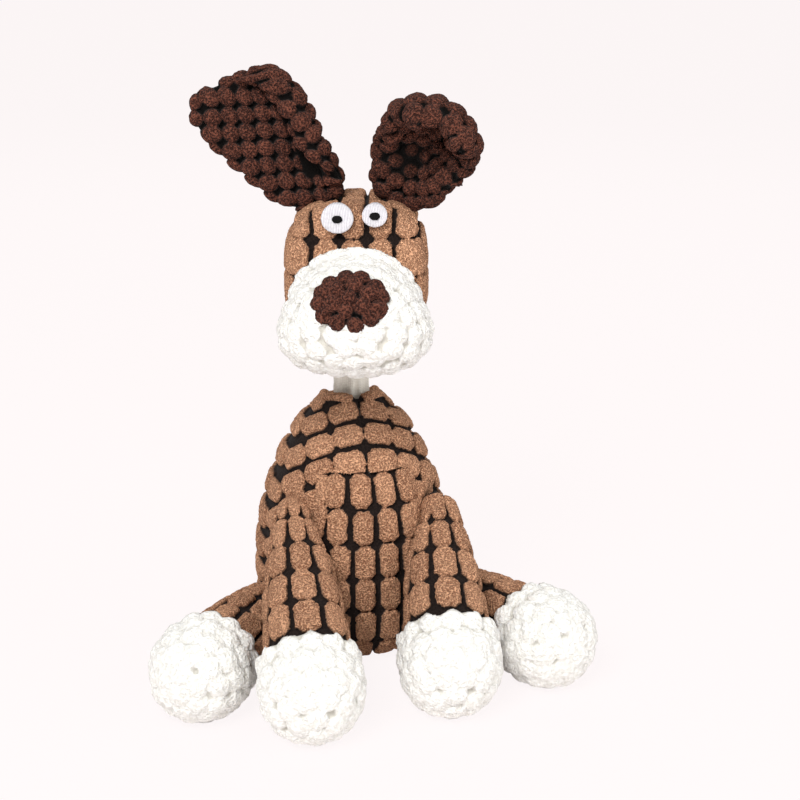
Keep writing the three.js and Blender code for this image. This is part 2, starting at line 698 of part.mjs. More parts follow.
/** The squeaker's five pieces in their group. */
function buildSqueaker(group) {
  const base = dish(WHISTLE_RADIUS + SEAM_GAP).rotateX(Math.PI);
  const reed = new THREE.BoxGeometry(REED_WIDTH, REED_THICKNESS, REED_LENGTH);
  const reedMiddle = -HALF_SQUEAKER + WHISTLE_LENGTH / 2 - SEAM_GAP;
  piece(group, 'squeaker_base', solid(base), CLEAR_PLASTIC);
  piece(group, 'squeaker_bellows', solid(bellows()), CLEAR_PLASTIC);
  piece(group, 'squeaker_crown', solid(dish(0)), CLEAR_PLASTIC);
  piece(group, 'squeaker_whistle', solid(whistle()), CLEAR_PLASTIC);
  piece(group, 'squeaker_reed', solid(reed.translate(0, 0, reedMiddle)), REED_PLASTIC);
}

// Neck

const NECK_BALL_Z = TORSO_HEIGHT - NECK_BALL_DROP;
const NECK_TOP_Z = TORSO_HEIGHT + NECK_LENGTH + NECK_TUCK;

/** The neck's gathered ball, grown by a distance. */
function neckBall(out) {
  return new THREE.SphereGeometry(NECK_BALL_RADIUS + out, NECK_FACETS, NECK_FACETS / 2)
    .rotateX(Math.PI / 2)
    .translate(0, 0, NECK_BALL_Z);
}

/** The neck sleeve and its stuffing. */
function buildNeck(group) {
  const bore = NECK_RADIUS - NECK_CLOTH;
  const foot = NECK_BALL_Z - NECK_BALL_RADIUS;
  const tube = solid(bar(NECK_RADIUS, NECK_BALL_Z, NECK_TOP_Z, NECK_FACETS));
  const core = solid(bar(bore, foot - SEAM_GAP, NECK_TOP_Z + SEAM_GAP, NECK_FACETS));
  const wad = solid(bar(bore - SEAM_GAP, foot - SEAM_GAP, NECK_TOP_Z, NECK_FACETS));
  piece(group, 'neck_sleeve', solid(neckBall(0)).add(tube).subtract(core), CREAM_CLOTH);
  piece(group, 'neck_stuffing', wad.intersect(solid(neckBall(0)).add(tube)), FIBRE);
}

// Head, in its own group that is turned about the neck

const HEAD_Z = TORSO_HEIGHT + NECK_LENGTH + HEAD_HALF_HEIGHT;
const HEAD_CENTRE = new THREE.Vector3(HEAD_ASIDE, -HEAD_FORWARD, HEAD_Z);
const MUZZLE_CENTRE = new THREE.Vector3(0, -MUZZLE_WIDEST_FORWARD, -MUZZLE_DROP).add(HEAD_CENTRE);

/** How many rings a skin of the head or muzzle has: fewer for the inner ones. */
function headRings(out) {
  return out < 0 ? HEAD_INNER_RINGS : HEAD_RINGS;
}

/** The head: a rounded block, grown by a distance. */
function headForm(out) {
  const ring = (tilt) => {
    const size = signedPower(Math.cos(tilt), 2 / HEAD_DEPTH_POWER);
    const forward = signedPower(Math.sin(tilt), 2 / HEAD_DEPTH_POWER) * (HEAD_HALF_DEPTH + out);
    const points = [];
    for (let j = 0; j < HEAD_FACETS; j++) {
      const angle = (2 * Math.PI * (j + 0.5)) / HEAD_FACETS;
      const across = signedPower(Math.cos(angle), 2 / HEAD_FACE_POWER) * (HEAD_HALF_WIDTH + out);
      const up = signedPower(Math.sin(angle), 2 / HEAD_FACE_POWER) * (HEAD_HALF_HEIGHT + out);
      points.push(new THREE.Vector3(size * across, -forward, size * up).add(HEAD_CENTRE));
    }
    return points;
  };
  const count = headRings(out);
  const rings = [];
  for (let i = 1; i < count; i++) rings.push(ring(Math.PI * (i / count - 0.5)));
  const tip = (way) => new THREE.Vector3(0, way * (HEAD_HALF_DEPTH + out), 0).add(HEAD_CENTRE);
  return loft(rings, tip(1), tip(-1));
}

/** The muzzle: an egg lying on its side, wider below, grown by a distance. */
function muzzleForm(out) {
  const count = headRings(out);
  const rings = [];
  for (let i = 1; i < count; i++) {
    const tilt = Math.PI * (i / count - 0.5);
    const size = signedPower(Math.cos(tilt), 2 / MUZZLE_POWER);
    const reach = (tilt > 0 ? MUZZLE_REACH : MUZZLE_BACK) + out;
    const forward = signedPower(Math.sin(tilt), 2 / MUZZLE_POWER) * reach;
    const points = [];
    for (let j = 0; j < HEAD_FACETS; j++) {
      const angle = (2 * Math.PI * (j + 0.5)) / HEAD_FACETS;
      const up = signedPower(Math.sin(angle), 2 / MUZZLE_POWER);
      const across = signedPower(Math.cos(angle), 2 / MUZZLE_POWER) * (1 - MUZZLE_JOWL * up);
      const point = new THREE.Vector3(across * (MUZZLE_HALF_WIDTH + out), 0, up * (MUZZLE_HALF_HEIGHT + out));
      point.multiplyScalar(size);
      point.y = -forward;
      points.push(point.add(MUZZLE_CENTRE));
    }
    rings.push(points);
  }
  const back = new THREE.Vector3(0, MUZZLE_BACK + out, 0).add(MUZZLE_CENTRE);
  const front = new THREE.Vector3(0, -MUZZLE_REACH - out, 0).add(MUZZLE_CENTRE);
  return loft(rings, back, front);
}

/** An oval bar through the face, running forward from its centre. */
function ovalBar(centre, halfWidth, halfHeight) {
  const oval = new THREE.Shape().absellipse(0, 0, halfWidth, halfHeight, 0, 2 * Math.PI);
  const options = { depth: FAR, bevelEnabled: false, curveSegments: TRIM_FACETS };
  const block = new THREE.ExtrudeGeometry(oval, options).rotateX(Math.PI / 2);
  return block.translate(centre.x, centre.y, centre.z);
}

/** A layer over a form, between two distances from it, inside an oval. */
function patch(form, low, high, centre, halfWidth, halfHeight) {
  const layer = solid(form(high)).subtract(solid(form(low)));
  return layer.intersect(solid(ovalBar(centre, halfWidth, halfHeight)));
}

/** The nose and the two eyes, each eye a white disc with a dark stitch on it. */
function buildFace(group) {
  const nose = MUZZLE_CENTRE.clone().add(new THREE.Vector3(NOSE_ASIDE, 0, NOSE_RISE));
  const noseTop = SEAM_GAP + NOSE_PLUSH;
  const noseBody = patch(muzzleForm, SEAM_GAP, noseTop, nose, NOSE_HALF_WIDTH, NOSE_HALF_HEIGHT);
  piece(group, 'nose_patch', noseBody, DARK_PLUSH);
  for (const [hand, aside, rise, radius] of [
    ['right', RIGHT_EYE_ASIDE, RIGHT_EYE_RISE, RIGHT_EYE_RADIUS],
    ['left', LEFT_EYE_ASIDE, LEFT_EYE_RISE, LEFT_EYE_RADIUS],
  ]) {
    const centre = HEAD_CENTRE.clone().add(new THREE.Vector3(aside, 0, rise));
    const disc = SEAM_GAP + EMBROIDERY;
    const stitch = disc + SEAM_GAP;
    const eye = patch(headForm, SEAM_GAP, disc, centre, radius, radius);
    const pupil = patch(headForm, stitch, stitch + PUPIL_STITCH, centre, PUPIL_HALF_WIDTH, PUPIL_HALF_HEIGHT);
    piece(group, `${hand}_eye_patch`, eye, WHITE_THREAD);
    piece(group, `${hand}_pupil`, pupil, BLACK_THREAD);
  }
}

// Ears. X runs along the hinge line, Z up the ear, and the front faces -Y

const RIGHT_EAR = {
  name: 'right_ear',
  aside: RIGHT_EAR_ASIDE,
  length: RIGHT_EAR_LENGTH,
  flap: RIGHT_EAR_FLAP,
  baseWidth: RIGHT_EAR_BASE_WIDTH,
  lean: RIGHT_EAR_LEAN,
  shape: foldedEar,
};
const LEFT_EAR = {
  name: 'left_ear',
  aside: LEFT_EAR_ASIDE,
  length: LEFT_EAR_LENGTH,
  flap: LEFT_EAR_FLAP,
  baseWidth: LEFT_EAR_BASE_WIDTH,
  lean: LEFT_EAR_LEAN,
  shape: cuppedEar,
};

/** How much of an ear's width is left at a length up the ear, where its end is rounded. */
function earRounding(ear, length) {
  const end = Math.max(0, (length - ear.length + EAR_ROUNDING) / EAR_ROUNDING);
  return Math.sqrt(1 - end ** 2 * (1 - EAR_END_SHARE ** 2));
}

/** Half the flat pattern's width at a length up the ear, without the flap. */
function earHalfWidth(ear, length) {
  const share = Math.max(length, 0) / ear.length;
  const width = lerp(ear.baseWidth, EAR_TIP_WIDTH, Math.sin((share * Math.PI) / 2));
  return (width / 2) * earRounding(ear, length);
}

/** The flap's width at a length up the ear. */
function earFlap(ear, length) {
  return ear.flap * THREE.MathUtils.smoothstep(length, FOLD_FROM, FOLD_TO) * earRounding(ear, length);
}

/** A nearly flat ear whose left edge rolls forward: the flat pattern's place in space. */
function foldedEar(aside, length, halfWidth) {
  const roll = radians(FOLD_ROLL) * THREE.MathUtils.smoothstep(length, FOLD_FROM, FOLD_TO);
  const hollow = (radians(FOLD_HOLLOW) * Math.max(length, 0)) / RIGHT_EAR_LENGTH;
  const start = halfWidth - FOLD_INSIDE;
  const step = aside / CURL_STEPS;
  const place = new THREE.Vector3(0, 0, length);
  for (let i = 0; i < CURL_STEPS; i++) {
    const run = (i + 0.5) * step;
    const curl = THREE.MathUtils.smoothstep(run, start, start + FOLD_ARC);
    const turn = (hollow * run) / halfWidth + roll * curl;
    place.x += Math.cos(turn) * step;
    place.y -= Math.sin(turn) * step;
  }
  return place;
}

/** An ear drawn forward into a bowl all round, except towards its root: the flat pattern's place in space. */
function cuppedEar(aside, length) {
  const [x, z] = [aside, length - CUP_CENTRE];
  const spread = Math.hypot(x, z) || Number.EPSILON;
  const round = THREE.MathUtils.smoothstep((z + CUP_ASIDE * x) / spread, CUP_OPEN_FROM, CUP_OPEN_TO);
  const turn = Math.max((spread * round) / CUP_RADIUS, Number.EPSILON);
  const out = Math.sin(turn) / turn;
  const forward = (spread * (1 - Math.cos(turn))) / turn;
  const place = new THREE.Vector3(x * out, -forward, CUP_CENTRE + z * out);
  return place.applyAxisAngle(SIDEWAYS, radians(CUP_NOD));
}

/** A point of an ear's middle surface, across from -1 to 1 and a length up the ear. */
function earMiddle(ear, across, length) {
  const halfWidth = earHalfWidth(ear, length);
  const aside = across * (halfWidth + (across > 0 ? earFlap(ear, length) : 0));
  const place = ear.shape(aside, length, halfWidth);
  place.x += Math.tan(radians(ear.lean)) * place.z;
  return place;
}

/** A point at a distance in front of the ear's middle surface. */
function earPoint(ear, across, length, inFront) {
  const small = 0.01;
  const place = earMiddle(ear, across, length);
  const alongX = earMiddle(ear, across + small, length).sub(earMiddle(ear, across - small, length));
  const alongZ = earMiddle(ear, across, length + small).sub(earMiddle(ear, across, length - small));
  return place.addScaledVector(alongX.cross(alongZ).normalize(), inFront);
}

/** One layer of an ear, between two distances in front of its middle surface. */
function earLayer(ear, low, high) {
  const grid = (inFront) => {
    const rows = [];
    for (let i = 0; i <= EAR_ROWS; i++) {
      const length = lerp(-EAR_ROOT_DEPTH, ear.length, i / EAR_ROWS);
      const row = [];
      for (let j = -EAR_PLAIN_COLUMNS; j <= EAR_FLAP_COLUMNS; j++) {
        row.push(earPoint(ear, j / (j < 0 ? EAR_PLAIN_COLUMNS : EAR_FLAP_COLUMNS), length, inFront));
      }
      rows.push(row);
    }
    return rows;
  };
  return slab(grid(high), grid(low));
}

/** The rolled hem along an ear's hinge line, grown by a distance. */
function earBead(out) {
  const half = EAR_BEAD_LENGTH / 2 + out;
  return bar(EAR_BEAD_RADIUS + out, -half, half, TRIM_FACETS).rotateY(Math.PI / 2);
}

/** An ear's group: on the crown, with X along the crown's slope there. */
function earGroup(ear) {
  const share = Math.abs(ear.aside) / HEAD_HALF_WIDTH;
  const height = (1 - share ** HEAD_FACE_POWER) ** (1 / HEAD_FACE_POWER);
  const slope = (HEAD_HALF_HEIGHT / HEAD_HALF_WIDTH) * (share / height) ** (HEAD_FACE_POWER - 1);
  const group = new THREE.Group();
  group.position.set(ear.aside, -EAR_ROOT_BACK, HEAD_HALF_HEIGHT * height + EAR_LIFT).add(HEAD_CENTRE);
  group.rotation.y = Math.sign(ear.aside) * Math.atan(slope);
  group.updateMatrix();
  return group;
}

/** The two layers of an ear. The back one carries the rolled hem. */
function buildEar(head, ear, group) {
  const crown = solid(headForm(EAR_CLEARANCE), group.matrix.clone().invert());
  const back = solid(earLayer(ear, -SEAM_GAP / 2 - PLUSH, -SEAM_GAP / 2)).subtract(crown);
  const front = solid(earLayer(ear, SEAM_GAP / 2, SEAM_GAP / 2 + PLUSH)).subtract(crown).subtract(back);
  piece(group, `${ear.name}_back`, back.add(solid(earBead(0))), DARK_PLUSH);
  piece(group, `${ear.name}_front`, front.subtract(solid(earBead(SEAM_GAP))), DARK_PLUSH);
  head.add(group);
}

/** The head's cover, the muzzle's cover and their common stuffing, with room for the neck and the ears. */
function buildHead(head) {
  const ears = [RIGHT_EAR, LEFT_EAR].map((ear) => ({ ear, group: earGroup(ear) }));
  const neckRoom = bar(NECK_RADIUS + JOINT_GAP, 0, NECK_TOP_Z + JOINT_GAP, NECK_FACETS);
  let room = solid(neckRoom);
  for (const { group } of ears) room = room.add(solid(earBead(JOINT_GAP), group.matrix));
  const insetForm = (form) => solid(form(-PLUSH));
  const stuffed = (form) => solid(form(-PLUSH - SEAM_GAP));
  const headShell = solid(headForm(0)).subtract(insetForm(headForm)).subtract(insetForm(muzzleForm));
  const muzzleShell = solid(muzzleForm(0)).subtract(insetForm(muzzleForm));
  const muzzle = muzzleShell.subtract(solid(headForm(SEAM_GAP)));
  piece(head, 'head_cover', headShell.subtract(room), BROWN_PLUSH);
  piece(head, 'muzzle_cover', muzzle.subtract(room), WHITE_PLUSH);
  piece(head, 'head_stuffing', stuffed(headForm).add(stuffed(muzzleForm)).subtract(room), FIBRE);
  buildFace(head);
  for (const { ear, group } of ears) buildEar(head, ear, group);
}

/** The torso's three panels and its two wads of stuffing, with sockets for the legs and the neck. */
function buildTorso(torso, legs, squeaker) {
  let room = solid(neckBall(JOINT_GAP));
  for (const leg of legs) room = room.add(solid(rootBall(leg, JOINT_GAP), leg.group.matrixWorld));
  const length = solid(above(0)).intersect(solid(below(TORSO_HEIGHT)));
  const hollow = solid(torsoForm(-PLUSH)).intersect(solid(above(PLUSH)));
  const shell = (form) => solid(form).subtract(hollow).intersect(length).subtract(room);
  const sides = shell(stitched(blockRings(SIDE_ROWS))).subtract(solid(bellyCutter(SEAM_GAP)));
  const front = shell(stitched(blockRings(BELLY_ROWS)).rotateZ(BELLY_BLOCKS_ASIDE / TORSO_RADIUS));
  piece(torso, 'torso_side_right', sides.intersect(solid(sideOfMiddle(-1))), BROWN_PLUSH);
  piece(torso, 'torso_side_left', sides.intersect(solid(sideOfMiddle(1))), BROWN_PLUSH);
  piece(torso, 'belly_panel', front.intersect(solid(bellyCutter(0))), BROWN_PLUSH);
  const inside = solid(torsoForm(-PLUSH - SEAM_GAP))
    .intersect(solid(above(PLUSH + SEAM_GAP)))
    .intersect(length)
    .subtract(room)
    .subtract(squeakerPocket(squeaker.matrixWorld));
  piece(torso, 'torso_stuffing_front', inside.intersect(solid(sideOfSqueaker(-1))), FIBRE);
  piece(torso, 'torso_stuffing_rear', inside.intersect(solid(sideOfSqueaker(1))), FIBRE);
}

const toy = new THREE.Group();
const torso = new THREE.Group();
const squeaker = new THREE.Group();
const neck = new THREE.Group();
const head = new THREE.Group();
squeaker.position.set(0, -SQUEAKER_FORWARD, SQUEAKER_Z);
squeaker.rotation.x = Math.PI / 2;
squeaker.updateMatrixWorld();
head.rotation.z = radians(HEAD_TURN);
toy.add(torso, squeaker, neck, head);

const legs = planLegs();
buildTorso(torso, legs, squeaker);
buildSqueaker(squeaker);
buildNeck(neck);
buildHead(head);
for (const leg of legs) buildLeg(toy, leg);

export default toy;
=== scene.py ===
"""A sitting plush dog that squeaks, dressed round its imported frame.

Every stuffed cover starts from the frame's own solids: they are joined, remeshed, puffed out by a short
cloth simulation between their seams, refined, split along the seams, and given their pile as real relief.
The brown plush carries blocks of pile on a dark knit, the white and dark plush carries knobs. The ears are
sewn from a flat pattern, and the squeaker is moulded plastic. Metres; +Z is up, the dog faces -Y and its own
right is at -X.
"""

from __future__ import annotations

import json
import logging
import math
from abc import ABC, abstractmethod
from dataclasses import dataclass, field
from enum import Enum
from typing import Callable, Sequence

import bpy
import numpy as np
from mathutils import Matrix, Vector, noise
from mathutils.bvhtree import BVHTree
from mathutils.kdtree import KDTree

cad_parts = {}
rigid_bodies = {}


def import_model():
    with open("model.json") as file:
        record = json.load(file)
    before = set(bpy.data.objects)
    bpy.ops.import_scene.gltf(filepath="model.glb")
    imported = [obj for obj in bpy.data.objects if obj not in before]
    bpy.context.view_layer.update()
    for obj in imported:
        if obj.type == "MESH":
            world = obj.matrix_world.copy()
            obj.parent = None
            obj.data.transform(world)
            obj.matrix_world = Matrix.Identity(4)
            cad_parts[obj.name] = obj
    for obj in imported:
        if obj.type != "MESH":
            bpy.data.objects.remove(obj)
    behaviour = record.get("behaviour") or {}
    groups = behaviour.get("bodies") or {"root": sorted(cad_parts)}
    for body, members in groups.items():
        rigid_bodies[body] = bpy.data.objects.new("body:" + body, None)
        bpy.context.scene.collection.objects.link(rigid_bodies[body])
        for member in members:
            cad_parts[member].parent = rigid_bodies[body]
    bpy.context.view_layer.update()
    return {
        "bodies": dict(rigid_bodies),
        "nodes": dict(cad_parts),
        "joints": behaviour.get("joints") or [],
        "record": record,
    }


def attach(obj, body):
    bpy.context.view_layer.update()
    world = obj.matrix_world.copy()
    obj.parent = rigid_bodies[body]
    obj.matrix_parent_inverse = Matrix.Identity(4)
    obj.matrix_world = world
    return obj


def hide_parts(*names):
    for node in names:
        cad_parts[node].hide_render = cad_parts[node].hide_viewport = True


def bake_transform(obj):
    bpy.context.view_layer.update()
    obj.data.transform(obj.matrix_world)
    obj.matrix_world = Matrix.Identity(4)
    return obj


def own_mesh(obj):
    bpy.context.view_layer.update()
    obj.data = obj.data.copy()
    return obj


log = logging.getLogger("plush_dog")

Colour = tuple[float, float, float]
Points = np.ndarray
Thing = bpy.types.Object
Pair = tuple[float, float]
Place = tuple[float, float, float]
SEED = 7
FLOOR_SKIN = 0.0002  # the lowest that pile may reach
BACKING_DEPTH = 0.003  # the knit below a solid's skin
UP = np.array((0.0, 0.0, 1.0))
LEVEL = np.array((1.0, 1.0, 0.0))
TURN = 2 * math.pi
TINY = 1e-12
LINE_SAMPLES = 90  # points on a line that tufts are set along
BLOCK_SHARE = 0.505  # half of a block's length, as a share of its pitch


# Shaders


class Socket:
    """An output of a shader node, which takes part in sums and products."""

    def __init__(self, paint: Paint, link: bpy.types.NodeSocket) -> None:
        """Keeps the output and the material it belongs to."""
        self.paint = paint
        self.link = link

    def _math(self, operation: str, other: object) -> Socket:
        """Works on this output and another value with a Math node."""
        return self.paint.node("ShaderNodeMath", {"operation": operation}, {0: self, 1: other})

    def __add__(self, other: object) -> Socket:
        """The sum."""
        return self._math("ADD", other)

    def __sub__(self, other: object) -> Socket:
        """The difference."""
        return self._math("SUBTRACT", other)

    def __mul__(self, other: object) -> Socket:
        """The product."""
        return self._math("MULTIPLY", other)

    def between(self, low: float, high: float) -> Socket:
        """How far the value has gone from low to high, held between 0 and 1."""
        limits = {1: low, 2: high, 3: 0.0, 4: 1.0}
        return self.paint.node("ShaderNodeMapRange", {"clamp": True}, {0: self, **limits})


class Paint:
    """A material whose node tree is written as expressions."""

    wave_scale = 0.314  # a wave texture's scale times its pitch

    def __init__(self, name: str) -> None:
        """Makes the material with its one shader."""
        self.material = bpy.data.materials.new(name)
        self.material.use_nodes = True
        self.tree = self.material.node_tree
        self.shader = self.tree.nodes["Principled BSDF"]

    def node(self, kind: str, settings: dict, inputs: dict, output: int | str = 0) -> Socket:
        """Adds a node.

        Args:
            kind: the node's type.
            settings: its properties, which are set first.
            inputs: values or sockets by the input's name or number.
            output: the output that is used.

        Returns:
            That output.
        """
        made = self.tree.nodes.new(kind)
        for key, value in settings.items():
            setattr(made, key, value)
        for key, value in inputs.items():
            self.join(made.inputs[key], value)
        return Socket(self, made.outputs[output])

    def join(self, target: bpy.types.NodeSocket, value: object) -> None:
        """Sets an input to a number, a colour or another node's output."""
        if isinstance(value, Socket):
            self.tree.links.new(value.link, target)
        else:
            target.default_value = (*value, 1.0) if target.type == "RGBA" else value

    def place(self) -> Socket:
        """The point on the piece, in metres."""
        return self.node("ShaderNodeTexCoord", {}, {}, "Object")

    def attribute(self, name: str) -> Socket:
        """A value that the mesh carries."""
        return self.node("ShaderNodeAttribute", {"attribute_name": name}, {}, "Fac")

    def cloud(self, size: float, detail: float) -> Socket:
        """Soft noise whose lumps have a size in metres."""
        inputs = {"Vector": self.place(), "Scale": 1 / size, "Detail": detail}
        return self.node("ShaderNodeTexNoise", {}, inputs)

    def cells(self, size: float) -> Socket:
        """The distance from the middles of cells of a size in metres."""
        return self.node("ShaderNodeTexVoronoi", {}, {"Vector": self.place(), "Scale": 1 / size}, "Distance")

    def threads(self, way: str, pitch: float, stray: float, detail: float) -> Socket:
        """Threads that repeat along X, Y or Z at a pitch in metres."""
        settings = {"wave_type": "BANDS", "bands_direction": way}
        scale = self.wave_scale / pitch
        inputs = {"Vector": self.place(), "Scale": scale, "Distortion": stray, "Detail": detail}
        return self.node("ShaderNodeTexWave", settings, inputs, "Fac")

    def mix(self, share: object, first: object, second: object) -> Socket:
        """A blend of two colours."""
        return self.node("ShaderNodeMix", {"data_type": "RGBA"}, {0: share, 6: first, 7: second}, 2)

    def bump(self, height: Socket, depth: float) -> None:
        """Roughens the shader's normal by a height from 0 to 1 over a depth in metres."""
        inputs = {"Strength": 1.0, "Distance": depth, "Height": height}
        self.set(Normal=self.node("ShaderNodeBump", {}, inputs))

    def set(self, **inputs: object) -> None:
        """Sets the shader's inputs, named with _ for a space."""
        for key, value in inputs.items():
            self.join(self.shader.inputs[key.replace("_", " ")], value)


@dataclass(frozen=True)
class Finish(ABC):
    """What a piece is made of: its material slot, its colour and a darker one."""

    slot: str
    colour: Colour
    shade: Colour

    def material(self) -> bpy.types.Material:
        """The finish as a material."""
        paint = Paint(self.slot)
        self.coat(paint)
        return paint.material

    def tint(self, paint: Paint, share: Socket) -> None:
        """Colours the surface from the darker colour to the lighter one."""
        paint.set(Base_Color=paint.mix(share, self.shade, self.colour))

    @abstractmethod
    def coat(self, paint: Paint) -> None:
        """Sets up the material's shader."""


@dataclass(frozen=True)
class PlushFinish(Finish):
    """Pile on a knit. The mesh says where pile stands, its tone and how its curls lie. The curls carry
    painted light and shade, and on the white plush the knit's colour is a painted shade for the valleys
    between knobs.
    """

    # the knit's own colour; on the white plush, a painted beige shade for the valleys between knobs
    backing: Colour
    curl: float  # size of a curl, metres
    spread: float  # how far neighbouring tufts differ in tone
    bump: float  # depth of the curls in the shading, metres
    light: float = 0.15  # how much of the pile is painted as lit rather than shaded, more or less
    holes: float = 0.45  # how light the holes of the knit look
    glow: float = 0.0  # how far light passes through the pile
    knit: float = 0.0009  # pitch of the backing's loops, metres

    def coat(self, paint: Paint) -> None:
        """Curls of pile, painted lighter on top and darker between as painted light and shade, and the knit
        where none stands; where pile is pressed, and in the white's valleys, that colour is painted shade.
        """
        pile = paint.attribute("pile").between(0.3, 0.55)
        loops = paint.cloud(self.curl, 1).between(0.37, 0.61)
        fibre = paint.cloud(self.curl * 0.4, 2)
        # Painted light and shade: curl tops and higher curls lighter, the hollows between curls darker, with
        # each tuft's own tint from tone.
        light = loops * 0.75 + (fibre - 0.5) * 0.6 + (paint.attribute("curl") - 0.5) * 0.3
        light = (light + paint.attribute("tone") * self.spread + self.light).between(0.0, 1.0)
        knit = paint.cells(self.knit).between(0.15, 0.75)
        # The knit's colour between tufts; on the white plush a painted shade in the valleys between knobs,
        # and under pressed pile a painted shade too.
        ground_and_valley_shade = paint.mix(knit, self.backing, tuple(self.holes * c for c in self.backing))
        tuft = paint.mix(light, self.shade, self.colour)
        paint.set(Base_Color=paint.mix(pile, ground_and_valley_shade, tuft), Roughness=0.96, Specular_IOR_Level=0.08)
        paint.set(Sheen_Weight=0.03, Sheen_Roughness=0.6)
        paint.set(Subsurface_Weight=self.glow, Subsurface_Radius=(1.0, 0.97, 0.9), Subsurface_Scale=0.003)
        paint.bump((loops + fibre * 0.5) * pile + knit * 0.12, self.bump)


@dataclass(frozen=True)
class ThreadFinish(Finish):
    """Satin stitch: threads side by side."""

    pitch: float = 0.0007

    def coat(self, paint: Paint) -> None:
        """Upright threads with a little fluff."""
        thread = paint.threads("X", self.pitch, 1.5, 1.0)
        fluff = paint.cloud(0.0012, 3)
        self.tint(paint, (thread * 0.5 + fluff * 0.5).between(0.2, 0.75))
        paint.set(Roughness=0.7, Specular_IOR_Level=0.12, Sheen_Weight=0.02)
        paint.bump(thread * 0.7 + fluff * 0.5, 0.0003)


@dataclass(frozen=True)
class ClothFinish(Finish):
    """A plain weave."""

    pitch: float = 0.0008

    def coat(self, paint: Paint) -> None:
        """Crossing threads, a little soiled."""
        x, y, z = (paint.threads(way, self.pitch, 0.8, 2.0) for way in "XYZ")
        weave = ((x + y) * 0.5) * z
        soil = paint.cloud(0.008, 3)
        self.tint(paint, (weave * 0.6 + soil * 0.6).between(0.1, 0.7))
        paint.set(Roughness=0.9, Specular_IOR_Level=0.2, Sheen_Weight=0.1)
        paint.bump(weave + soil * 0.4, 0.0003)


@dataclass(frozen=True)
class FibreFinish(Finish):
    """Loose polyester fibre."""

    def coat(self, paint: Paint) -> None:
        """Strands in loose wads."""
        strand = paint.cloud(0.0016, 6)
        wad = paint.cloud(0.012, 2)
        self.tint(paint, (strand * 0.7 + wad * 0.4).between(0.3, 0.75))
        paint.set(Roughness=1.0, Specular_IOR_Level=0.1, Sheen_Weight=0.3)
        paint.bump(strand, 0.0012)


@dataclass(frozen=True)
class PlasticFinish(Finish):
    """Blow moulded plastic, milky, with flow marks."""

    def coat(self, paint: Paint) -> None:
        """Flow marks and fine specks."""
        flow = paint.cloud(0.009, 3)
        speck = paint.cloud(0.0012, 2)
        self.tint(paint, flow.between(0.3, 0.7))
        paint.set(Roughness=speck * 0.25 + 0.22, Specular_IOR_Level=0.45)
        paint.bump(speck * 0.4 + flow, 0.0002)


# Each plush's second colour is the painted shade in the hollows between its curls.
BROWN = PlushFinish(
    "brown_plush",
    (0.82, 0.445, 0.26),
    (0.24, 0.1, 0.05),
    backing=(0.02, 0.013, 0.011),
    curl=0.0008,
    spread=0.1,
    bump=0.0012,
)
# The white's knit colour below is a painted beige shade for the valleys between knobs, with no knit holes.
WHITE = PlushFinish(
    "white_plush",
    (0.84, 0.835, 0.81),
    (0.7, 0.685, 0.64),
    backing=(0.58, 0.56, 0.505),
    curl=0.0016,
    spread=0.03,
    bump=0.0005,
    holes=1.0,
    glow=0.35,
)
DARK = PlushFinish(
    "dark_plush",
    (0.2, 0.066, 0.04),
    (0.026, 0.0075, 0.0048),
    backing=(0.004, 0.003, 0.0025),
    curl=0.0009,
    spread=0.08,
    bump=0.001,
    light=-0.04,
)
CREAM = ClothFinish("cream_cloth", (0.9, 0.87, 0.79), (0.7, 0.66, 0.56))
WHITE_THREAD = ThreadFinish("white_thread", (0.78, 0.77, 0.79), (0.5, 0.475, 0.52))
BLACK_THREAD = ThreadFinish("black_thread", (0.006, 0.0055, 0.0055), (0.0015, 0.0015, 0.0015))
FIBRE = FibreFinish("stuffing", (0.86, 0.85, 0.81), (0.6, 0.58, 0.53))
PLASTIC = PlasticFinish("squeaker_plastic", (0.8, 0.8, 0.76), (0.66, 0.66, 0.62))


# Handling meshes


def only(obj: Thing) -> None:
    """Selects one object alone and makes it the active one."""
    bpy.ops.object.select_all(action="DESELECT")
    obj.select_set(True)
    bpy.context.view_layer.objects.active = obj


def read(rows: Sequence, key: str, width: int = 1, kind: type = np.float32) -> Points:
    """Reads a property of every vertex, edge or corner of a mesh.

    Args:
        rows: the mesh's vertices, edges or the like.
        key: the property's name.
        width: how many numbers it has.
        kind: their type.

    Returns:
        The numbers, one row for each element where there are several.
    """
    values = np.empty(width * len(rows), kind)
    rows.foreach_get(key, values)
    return values.reshape(-1, width) if width > 1 else values


def points_of(obj: Thing) -> Points:
    """The places of a mesh's vertices, one row each."""
    return read(obj.data.vertices, "co", 3).astype(float)


def normals_of(obj: Thing) -> Points:
    """The directions in which a mesh's vertices face, one row each."""
    return read(obj.data.vertex_normals, "vector", 3).astype(float)


def put_points(obj: Thing, points: Points) -> None:
    """Moves a mesh's vertices to new places."""
    obj.data.vertices.foreach_set("co", points.astype(np.float32).ravel())
    obj.data.update()


def keep_values(obj: Thing, **values: Points) -> None:
    """Stores numbers on a mesh's vertices, by name."""
    for name, numbers in values.items():
        made = obj.data.attributes.new(name, "FLOAT", "POINT")
        made.data.foreach_set("value", numbers.astype(np.float32))


def kept_values(obj: Thing, name: str) -> Points:
    """The numbers stored on a mesh's vertices under a name."""
    return read(obj.data.attributes[name].data, "value")


def modify(obj: Thing, kind: str, **settings: object) -> None:
    """Adds a modifier with its settings and applies it."""
    made = obj.modifiers.new(kind.lower(), kind)
    for key, value in settings.items():
        setattr(made, key, value)
    only(obj)
    bpy.ops.object.modifier_apply(modifier=made.name)


def smooth(obj: Thing, rounds: int) -> None:
    """Evens out a mesh."""
    modify(obj, "SMOOTH", factor=0.5, iterations=rounds)


def hem(piece: Thing) -> None:
    """Turns an open cover's edges inwards."""
    modify(piece, "SOLIDIFY", thickness=BACKING_DEPTH, offset=-1, use_rim=True, use_rim_only=True)


